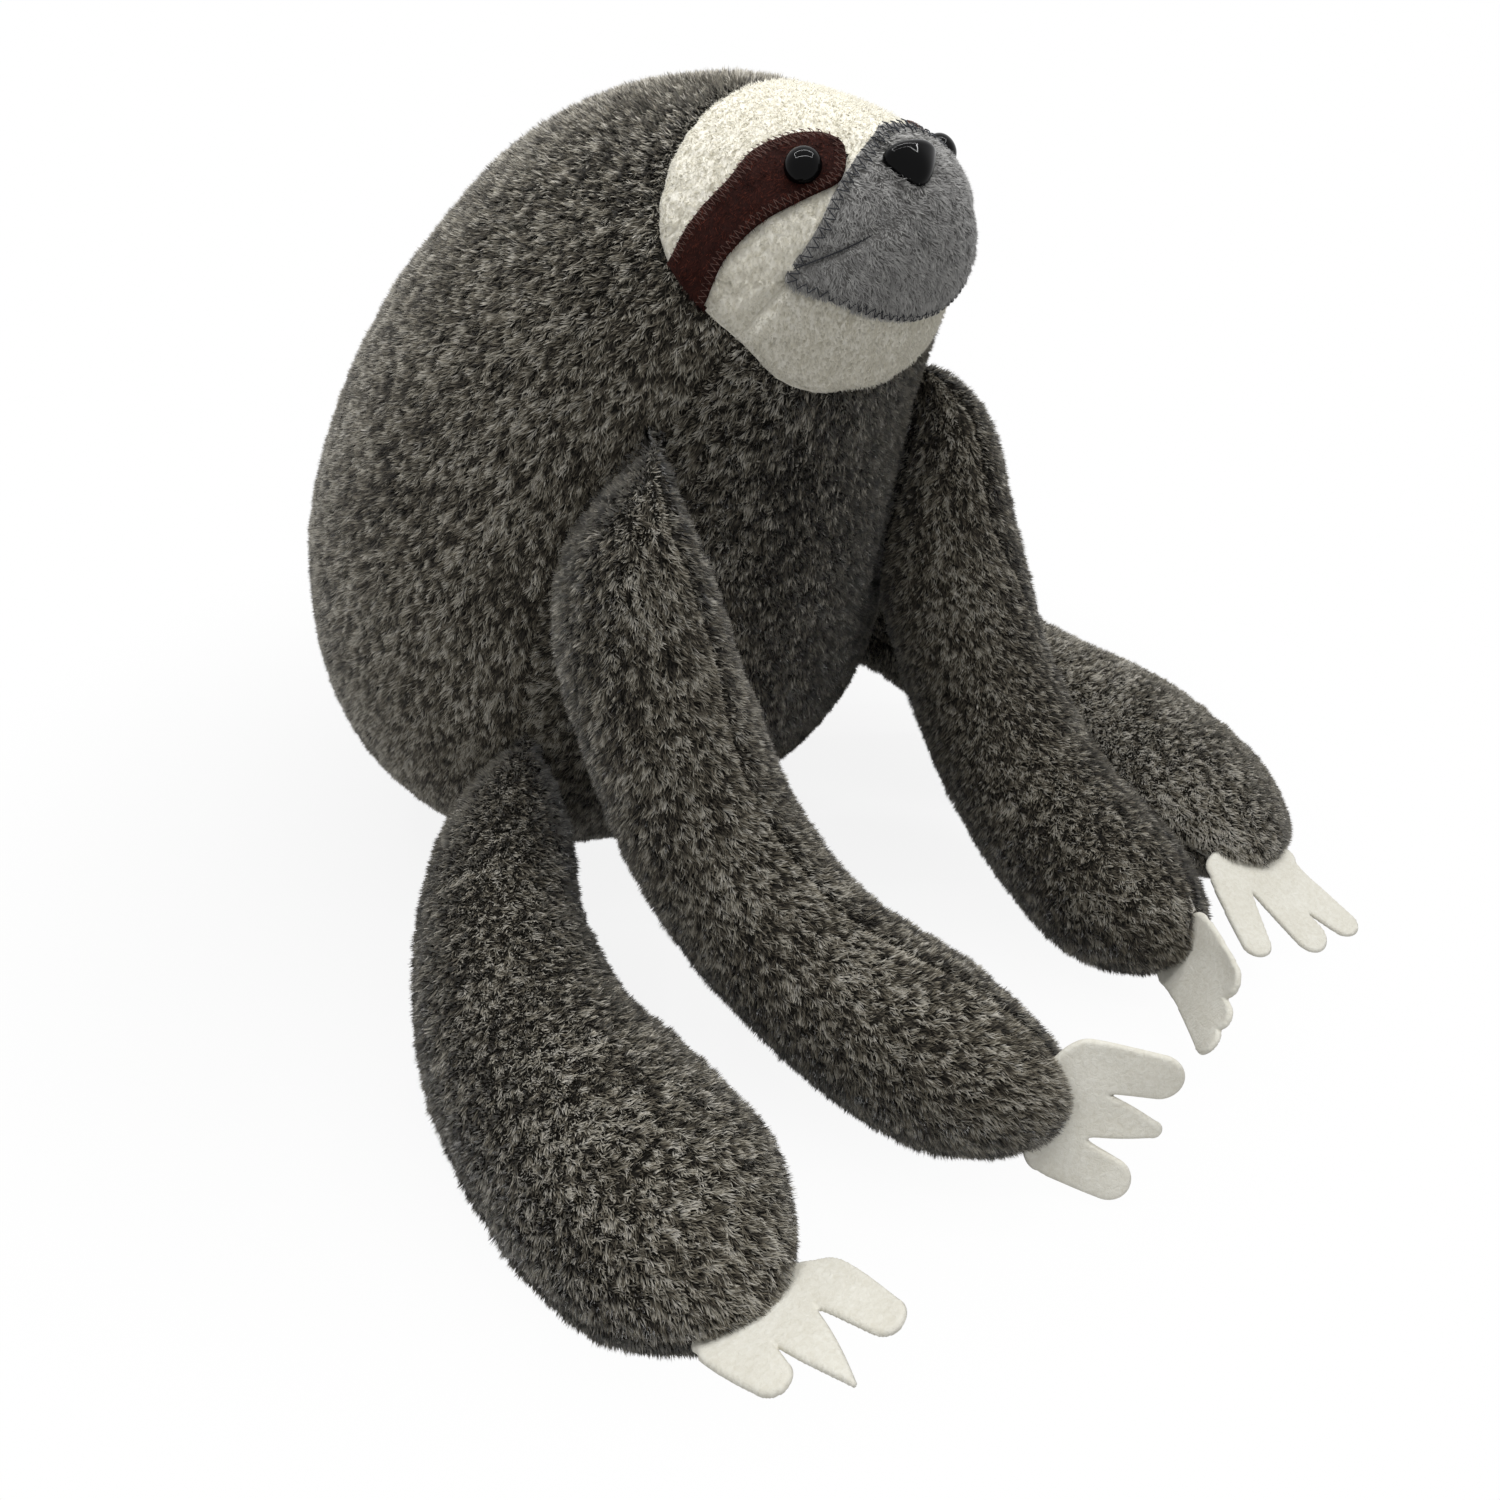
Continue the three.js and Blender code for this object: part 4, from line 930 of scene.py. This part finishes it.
def zigzag(around, z, pitch, inwards, outwards, lift, seed):
    """A zigzag stitch along an outline: steps of even length that go in turn to one side of it and the other, a
    little unevenly, and sink at their ends."""
    random = np.random.default_rng(seed)
    length = np.concatenate([[0], np.cumsum(np.hypot(np.diff(around), np.diff(z)))])
    count = int(length[-1] / pitch)
    at = np.linspace(0, length[-1], count) + random.normal(0, pitch * 0.08, count)
    at = np.clip(at, 0, length[-1])
    step = 0.4
    dx, dy = (np.interp(at + step, length, values) - np.interp(at - step, length, values)
              for values in (around, z))
    push = np.where(np.arange(count) % 2 == 0, inwards, -outwards) * random.uniform(0.88, 1.12, count)
    push = push / np.maximum(np.hypot(dx, dy), 1e-6)
    x, y = np.interp(at, length, around) - dy * push, np.interp(at, length, z) + dx * push
    teeth = np.arange(count)
    fine = np.linspace(0, count - 1, (count - 1) * 4 + 1)
    return face_place(np.interp(fine, teeth, x), np.interp(fine, teeth, y),
                      lift - 0.35 * np.cos(2 * np.pi * fine) ** 8)


def make_patches():
    """The muzzle and the eye patches, with their fuzz, their zigzag stitches and the mouth's dart."""
    sheet, around, z = muzzle_sheet()
    muzzle = "muzzle_fleece"
    dress(sheets_mesh("muzzle_cloth", [sheet], CLOTH_WALL), MUZZLE_CLOTH, "body", muzzle, "muzzle_patch")
    dress(pile("muzzle_pile", [sheet], 41, 0.0, **MUZZLE_FIBRES), MUZZLE_PILE, "body", muzzle)
    rim = slice(1, -1)
    edge_x, edge_z = (np.concatenate([grid[rim, 0], grid[-2, :], grid[rim, -1][::-1], grid[1, ::-1]])
                      for grid in (around, z))
    thread("muzzle_stitches", *zigzag(edge_x, edge_z, *MUZZLE_ZIGZAG), MUZZLE_STITCH, MUZZLE_THREAD, muzzle)
    line = mouth_line(90)[:80]
    for side, sign in SIDES.items():
        points, normals = face_place(sign * line[:, 0], line[:, 1], np.linspace(1.0, 1.3, 80))
        thread(f"mouth_dart_{side}", points, normals, MOUTH_STITCH, MUZZLE_THREAD, muzzle)
        name, slot = f"eye_patch_{side}", "eye_patch_felt"
        around, height, lift = eye_patch_grid(sign)
        felt = patch_sheet(around, height, lift, (0.6, 0.8))
        dress(sheets_mesh(f"{name}_felt", [felt], PATCH_WALL), PATCH_FELT, "body", slot, name)
        dress(pile(f"{name}_fuzz", [felt], 43 + sign, 0.0, **PATCH_FIBRES), PATCH_PILE, "body", slot)
        edge_x, edge_z = (np.concatenate([grid[::-1, 0], grid[0, 1:-1], grid[:, -1]])
                          for grid in (around, height))
        inner = np.abs(edge_x) < seam_around(edge_z) - 0.9
        stitches = zigzag(edge_x[inner], edge_z[inner], PATCH_PITCH, PATCH_REACH * sign, 0.0, PATCH_LIFT,
                          PATCH_SEED)
        thread(f"{name}_stitches", *stitches, PATCH_STITCH, PATCH_THREAD, slot)


make_patches()


# ---- eyes and nose

def trim_frame(around, z, lift):
    """Where a hard piece sits on the face: its middle and its directions across, up and out."""
    place, out = face_place(np.array(float(around)), np.array(float(z)), 0.0)
    across = unit(np.cross([0, 0, 1.0], out))
    return place + out * lift, across, np.cross(out, across), out


def circle_outline(count):
    """Points of a circle of radius one."""
    turn = whole_turn(count)
    return np.stack([np.cos(turn), np.sin(turn)], 1)


def trim_mesh(name, outline, rise, where, post):
    """A hard dome on its post: rings of an outline, wide at a soft rim and closing at the crown along an oval,
    then down from the rim to the post and its end. The post goes through the fabric at its own place."""
    crown = [(np.cos(a) ** 0.92, rise * np.sin(a)) for a in np.linspace(0, np.pi / 2, 20)]
    circle = circle_outline(len(outline))
    under, end = -0.45, 0.5 - POST_LENGTH
    dome = [(where, outline, scale, height) for scale, height in [*crown[::-1], (0.97, -0.35), (0.80, under)]]
    stem = [(post, circle, POST_RADIUS, under), (post, circle, POST_RADIUS, end), (post, circle, 0.0, end)]
    rings = []
    for (middle, across, up, out), shape, scale, height in dome + stem:
        rings.append(middle + shape[:, :1] * scale * across + shape[:, 1:] * scale * up + height * out)
    return closed_form(name, np.stack(rings))


def nose_outline(steps=16):
    """A rounded triangle, wide at the top: four curves, each drawn towards a corner point."""
    rise, half = NOSE_LENGTH / 3, NOSE_HALF_WIDTH
    stops = np.array([(0, rise), (half, 0), (0, -2 * rise), (-half, 0), (0, rise)])
    drawn = np.array([(half, rise), (half / 2, -2 * rise), (-half / 2, -2 * rise), (-half, rise)])
    t = np.linspace(0, 1, steps)[:, None]
    parts = [(1 - t) ** 2 * a + 2 * t * (1 - t) * b + t * t * c for a, b, c in zip(stops, drawn, stops[1:])]
    return np.concatenate([part[:-1] for part in parts] + [parts[0][:1]])[::-1]


def make_trim():
    """Two domed eyes, the nose, and a better finish for the washers behind them."""
    circle, seat = circle_outline(49) * EYE_RADIUS, 2 * SEAM_GAP + PATCH
    trims = [(f"eye_dome_{side}", circle, EYE_RISE + 0.3, side, (sign * EYE_SPREAD, EYE_Z), f"eye_{side}")
             for side, sign in SIDES.items()]
    trims.append(("nose_dome", nose_outline() * NOSE_STRETCH, NOSE_RISE, "nose", (0, NOSE_Z), "nose"))
    for name, outline, rise, place, post, node in trims:
        piece = trim_mesh(name, outline, rise, trim_frame(*DOME_PLACES[place], seat), trim_frame(*post, seat))
        dress(piece, TRIM_GLOSS, "body", "hard_trim", node)
    for node in ("eye_washer_right", "eye_washer_left", "nose_washer"):
        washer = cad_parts[node]
        washer.data.materials.clear()
        washer.data.materials.append(WASHER_PLASTIC)


make_trim()


# ---- limbs

def limb_ways(rows):
    """Ways along a limb, closer together at the round paw."""
    t, paw, pace = np.linspace(0, 1, rows), 0.88, 1.16
    end = 1 - (1 - paw) * np.clip((1 - t) / (1 - paw / pace), 0, 1) ** 2.2
    return np.where(t * pace < paw, t * pace, end)


def limb_sheet(kind, side, start, stop, columns=44, rows=120):
    """One panel of a limb, between two angles, with a round cap that closes its root inside the body. The pile
    lies along the limb, towards the paw."""
    sign = SIDES[side]
    along, angle = limb_ways(rows), np.linspace(start, stop, columns)
    points = limb_surface(kind, sign, along, angle)
    held = np.clip(along, 0, 0.985)
    around = limb_surface(kind, sign, held, angle + 0.01) - limb_surface(kind, sign, held, angle - 0.01)
    onward = (limb_surface(kind, sign, np.clip(along + 0.004, 0, 0.9995), angle)
              - limb_surface(kind, sign, np.clip(along - 0.004, 0, 0.9915), angle))
    middle, _, _, run, _, _ = limb_section(kind, sign, along)
    middle, run = middle[:, None], run[:, None]
    normals = unit(np.cross(around, onward))
    if (normals[:-1] * (points - middle)[:-1]).sum() < 0:
        normals = -normals
    normals[-1] = run[-1]
    seam = np.minimum(*(np.linalg.norm(points - points[:, edge][:, None], axis=-1) for edge in (0, -1)))
    near_root = along < 0.45
    seam[near_root] = np.minimum(seam[near_root], nearest(points[near_root], ROOTS[kind, side]))
    mean_radius, mean_length = 25.0, 215.0
    places = np.stack(np.broadcast_arrays(angle[None] * mean_radius, along[:, None] * mean_length), -1)
    lumps = layers(places, (30.0, 0.7, sign + 11), (13.0, 0.3, sign + 13))
    points = points + normals * lumps[..., None] * np.minimum(1, (1 - along) * 9)[:, None, None]
    turn = np.linspace(0, np.pi / 2, 8)[:-1, None, None]
    out = points[:1] - middle[:1]
    cap = middle[:1] + out * (0.2 + 0.8 * np.sin(turn)) - run[:1] * 6.0 * np.cos(turn)
    cap_normals = unit(unit(out) * np.sin(turn) - run[:1] * np.cos(turn))
    return Sheet(np.concatenate([cap, points]), np.concatenate([cap_normals, normals]),
                 *(np.concatenate([np.repeat(field[:1], len(cap), 0), field])
                   for field in (run + unit(around) * 0.15, places, seam)))


def joint_blend(piece, kind, side):
    """Works out where the limb's root blend starts and the way it goes, which nothing uses, and bakes the piece's
    place into its points.
    """
    start, way, length = ROOT_BLENDS[kind]
    mirror = np.array([SIDES[side], 1.0, 1.0])
    start, way = mirror * start, mirror * way
    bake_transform(piece)


def make_limbs():
    """Two panels of plush for each arm and leg, split along the limb's two seams."""
    quarter = np.pi / 2
    spans = {"arm": (("outer", -quarter, quarter), ("inner", quarter, 3 * quarter)),
             "leg": (("top", 0.0, 2 * quarter), ("sole", 2 * quarter, 4 * quarter))}
    for k, (kind, panels) in enumerate(spans.items()):
        for side, sign in SIDES.items():
            for n, (panel, start, stop) in enumerate(panels):
                sheet = limb_sheet(kind, side, start, stop)
                skin = sheet.moved(groove(sheet.seam, *LIMB_GROOVE) - PLUSH_DEPTH)
                name = f"{kind}_{panel}_{side}"
                piece = sheets_mesh(f"{name}_cloth", [skin], CLOTH_WALL)
                dress(piece, PLUSH_CLOTH_WITH_PAINTED_SHADE, None, "plush", f"{kind}_{panel}_panel_{side}")
                joint_blend(piece, kind, side)
                seed = 60 + 8 * k + 2 * n + (sign > 0)
                piece = pile(f"{name}_pile", [skin], seed, PAINTED_LIGHTING[kind, side], **PLUSH_FIBRES)
                dress(piece, PLUSH_PILE, None, "plush")
                joint_blend(piece, kind, side)


make_limbs()


# ---- felt claws

def claw_depth(x, y, limb):
    """Distance inside the claws' outline, above zero in the felt: three tapering rounded fingers joined softly to
    a palm whose sewn end is an oval."""
    best = np.full(x.shape, -99.0)
    for x0, y0, x1, y1, root, tip in FINGERS[limb]:
        dx, dy = x1 - x0, y1 - y0
        t = np.clip(((x - x0) * dx + (y - y0) * dy) / (dx * dx + dy * dy), 0, 1)
        depth = root + (tip - root) * t ** 1.6 - np.hypot(x - x0 - dx * t, y - y0 - dy * t)
        best = np.maximum(best, depth)
    middle, half = PALMS[limb][:2]
    palm = np.minimum(half - np.abs(x - middle) - 0.25 * np.maximum(y, 0), 9.5 - y)
    sewn = (1 - np.hypot((x - middle) / half, np.minimum(y, 0) / CLAW_SEWN_IN)) * CLAW_SEWN_IN
    palm = np.minimum(palm, sewn)
    soft = 1.1
    return np.maximum(best, palm) + np.where(y > 3, soft * np.exp(-np.abs(best - palm) / soft) * 0.35, 0.0)


def turned(vector, axis, angle):
    """A direction turned about an axis."""
    c, s = math.cos(angle), math.sin(angle)
    return vector * c + np.cross(axis, vector) * s + axis * np.dot(axis, vector) * (1 - c)


def claw_frame(kind, side):
    """Where the claws sit in the paw: their middle and the directions across them, ahead and out of the felt."""
    sign, upright = SIDES[side], np.array([0, 0, 1.0])
    middle, _, _, run, across, lift = (part[0] for part in limb_section(kind, sign, np.array([1.0])))
    droop, swing = CLAW_TURNS[kind, side]
    level = unit(np.cross(run, upright)) * -sign
    wide, ahead = (turned(turned(way, level, sign * droop), upright, sign * swing)
                   for way in ((across if kind == "leg" else lift), run))
    return middle - run * CLAW_SET_BACK, wide, ahead, np.cross(wide, ahead)


def claw_bend(x, y, limb):
    """How far the felt curls out of its plane: ahead towards the floor, and a little different at each finger."""
    down, fingers = PALMS[limb][2:]
    ahead = np.maximum(y, 0) / CLAW_LENGTH
    return down * ahead ** 2 + fingers * ahead * np.sin(x / 6.5 + 0.8) + 0.25 * drift(np.stack([x, y], -1) / 9, 9)


def claw_piece(*limb):
    """The felt as two faces on a fine grid: cells inside the outline are kept, the points on the border slide
    onto it, and the faces meet there along a rounded edge."""
    step, tiny, slide, edge = 0.55, 0.05, 0.6, 1.3
    x, y = np.meshgrid(np.arange(-30, 30.01, step), np.arange(-CLAW_SEWN_IN - 1, 42.01, step))
    inside = claw_depth((x[:-1, :-1] + x[1:, 1:]) / 2, (y[:-1, :-1] + y[1:, 1:]) / 2, limb) > 0
    index = np.arange(x.size).reshape(x.shape)
    quads = np.stack([index[:-1, :-1][inside], index[:-1, 1:][inside], index[1:, 1:][inside],
                      index[1:, :-1][inside]], 1)
    used = np.bincount(quads.ravel(), minlength=x.size)
    x, y = x.ravel().copy(), y.ravel().copy()
    border = (used > 0) & (used < 4)
    for _ in range(5):
        bx, by = x[border], y[border]
        depth = claw_depth(bx, by, limb)
        gx = (claw_depth(bx + tiny, by, limb) - claw_depth(bx - tiny, by, limb)) / (2 * tiny)
        gy = (claw_depth(bx, by + tiny, limb) - claw_depth(bx, by - tiny, limb)) / (2 * tiny)
        size = np.maximum(gx ** 2 + gy ** 2, 0.3)
        x[border] = bx - np.clip(depth * gx / size, -slide, slide)
        y[border] = by - np.clip(depth * gy / size, -slide, slide)
    depth = np.where(border, 0.0, np.maximum(claw_depth(x, y, limb), 0))
    half = FELT / 2 * np.sqrt(np.clip(1 - (1 - np.clip(depth / edge, 0, 1)) ** 2, 0, 1))
    middle, wide, ahead, out = claw_frame(*limb)
    plane = middle + x[:, None] * wide + y[:, None] * ahead
    bend = claw_bend(x, y, limb)
    points = np.concatenate([plane + (bend + way * half)[:, None] * out for way in (1, -1)])
    upper = np.concatenate([quads[:, [0, 1, 2]], quads[:, [0, 2, 3]]])
    triangles = np.concatenate([upper, upper[:, ::-1] + x.size])
    triangles = facing_out(points, triangles, np.repeat([out, -out], len(upper), 0))
    keep, triangles = np.unique(triangles, return_inverse=True)
    points, triangles = weld(points[keep], triangles.reshape(-1, 3))
    points[:, 2] = np.maximum(points[:, 2], 0.2)
    return write_mesh("{}_claws_felt_{}".format(*limb), points, triangles)


def make_claws():
    """Each hand and foot has one piece of felt with three claws."""
    for kind, side in FINGERS:
        dress(claw_piece(kind, side), CLAW_FELT, f"{kind}_{side}", "claw_felt", f"{kind}_claws_{side}")


make_claws()


# ---- filling

def filling(name, rings, body, node):
    """A closed padded form of loose fibre, with both end rings drawn together."""
    rings[0], rings[-1] = rings[0].mean(0), rings[-1].mean(0)
    piece = dress(closed_form(name, rings), FILLING_FIBRE, body, "filling", node)
    return piece


def make_fillings():
    """Loose fibre inside the body and the limbs, pulled a little inwards and lumpy in the body."""
    share, turn = np.broadcast_arrays(np.linspace(0, 1, 70)[:, None], whole_turn(97)[None, :])
    places = np.stack([np.sin(turn) * 3 + 5, share * 9], -1)
    rings = body_point(share, turn) - body_normal(share, turn) * (6.0 + 1.2 * drift(places, 21))[..., None]
    rings[..., 2] = np.maximum(rings[..., 2], 4.0)
    filling("body_fibre", rings, "body", "body_filling")
    along = np.concatenate([np.linspace(0.09, 0.86, 40), 1 - 0.14 * np.linspace(1, 0, 20)[1:] ** 2.2])
    angle = whole_turn(49)
    for kind in LIMBS:
        for side, sign in SIDES.items():
            rings = limb_surface(kind, sign, along * 0.975, angle, 5.2)
            joint_blend(filling(f"{kind}_fibre_{side}", rings, None, f"{kind}_filling_{side}"), kind, side)


make_fillings()


# ---- stage: camera, floor and light

def look_at_toy():
    """The photograph's camera: a distance back from a place beside the toy, turned and raised by two angles."""
    level = math.cos(CAMERA_RISE)
    back = Vector((math.sin(CAMERA_TURN) * level, -math.cos(CAMERA_TURN) * level, math.sin(CAMERA_RISE)))
    right = Vector((math.cos(CAMERA_TURN), math.sin(CAMERA_TURN), 0.0))
    lens = bpy.data.cameras.new("photo_camera")
    lens.sensor_width = SENSOR
    lens.lens = SENSOR * FOCAL_PIXELS / PICTURE_PIXELS
    lens.clip_start = 0.01
    camera = bpy.data.objects.new("photo_camera", lens)
    bpy.context.scene.collection.objects.link(camera)
    camera.location = (right * CAMERA_ASIDE + back * CAMERA_BACK + Vector((0, CAMERA_AHEAD, CAMERA_UP))) * MM
    camera.rotation_euler = Matrix((right, back.cross(right), back)).transposed().to_euler()
    bpy.context.scene.camera = camera


def floor_finish():
    """A pale floor: white where the camera or a gloss looks at it, and faintly shaded where the toy stands."""
    made, nodes, surface = finish_named("studio floor")
    nodes.feed(surface, {"Base Color": (0.62, 0.62, 0.62, 1), "Roughness": 0.9})
    away = nodes.feed(nodes.add("VectorMath", operation="LENGTH"), {0: nodes.place()}).outputs["Value"]
    far = nodes.spread(away, 0.1, 0.3, 0.88, 1.0, interpolation_type="SMOOTHSTEP")
    glow = nodes.add("Emission", Strength=1.0)
    nodes.show(nodes.math("MULTIPLY", nodes.seen(), far), surface.outputs[0], glow.outputs[0])
    return made


def strip_lamps():
    """The four tubes of a light tent, in a rectangle under its roof, turned to face the camera."""
    half_long, half_wide, high, tube, ahead = 0.36, 0.16, 0.8, 0.010, 0.1
    c, s = math.cos(CAMERA_TURN), math.sin(CAMERA_TURN)
    for name, x, y in (("front", 0, -half_wide), ("back", 0, half_wide), ("right", -half_long, 0),
                       ("left", half_long, 0)):
        light = bpy.data.lights.new(f"tent_tube_{name}", "AREA")
        light.shape = "RECTANGLE"
        light.size, light.size_y = (tube, 2 * half_wide) if x else (2 * half_long, tube)
        light.energy = 1.2 * max(light.size, light.size_y) / 0.46
        made = bpy.data.objects.new(f"tent_tube_{name}", light)
        made.location = (x * c - y * s, x * s + y * c - ahead, high)
        made.rotation_euler = (0, 0, CAMERA_TURN)
        bpy.context.scene.collection.objects.link(made)


def set_stage():
    """Floor, world and lamps, at a plain level: the world is white to look at and dimmer as a light."""
    far, below, dim = 6000.0, -0.05, 0.45
    corners = np.array([[-far, -far, below], [far, -far, below], [far, far, below], [-far, far, below]])
    floor = write_mesh("studio_floor", corners, np.array([[0, 1, 2], [0, 2, 3]]))
    floor.data.materials.append(floor_finish())
    world = bpy.data.worlds.new("studio")
    bpy.context.scene.world = world
    world.use_nodes = True
    nodes = Nodes(world.node_tree)
    strength = nodes.math("ADD", nodes.math("MULTIPLY", nodes.seen(), 1 - dim), dim)
    nodes.feed(world.node_tree.nodes["Background"], {"Color": (1, 1, 1, 1), "Strength": strength})
    strip_lamps()


look_at_toy()
set_stage()
bpy.context.scene.view_settings.view_transform = "Standard"
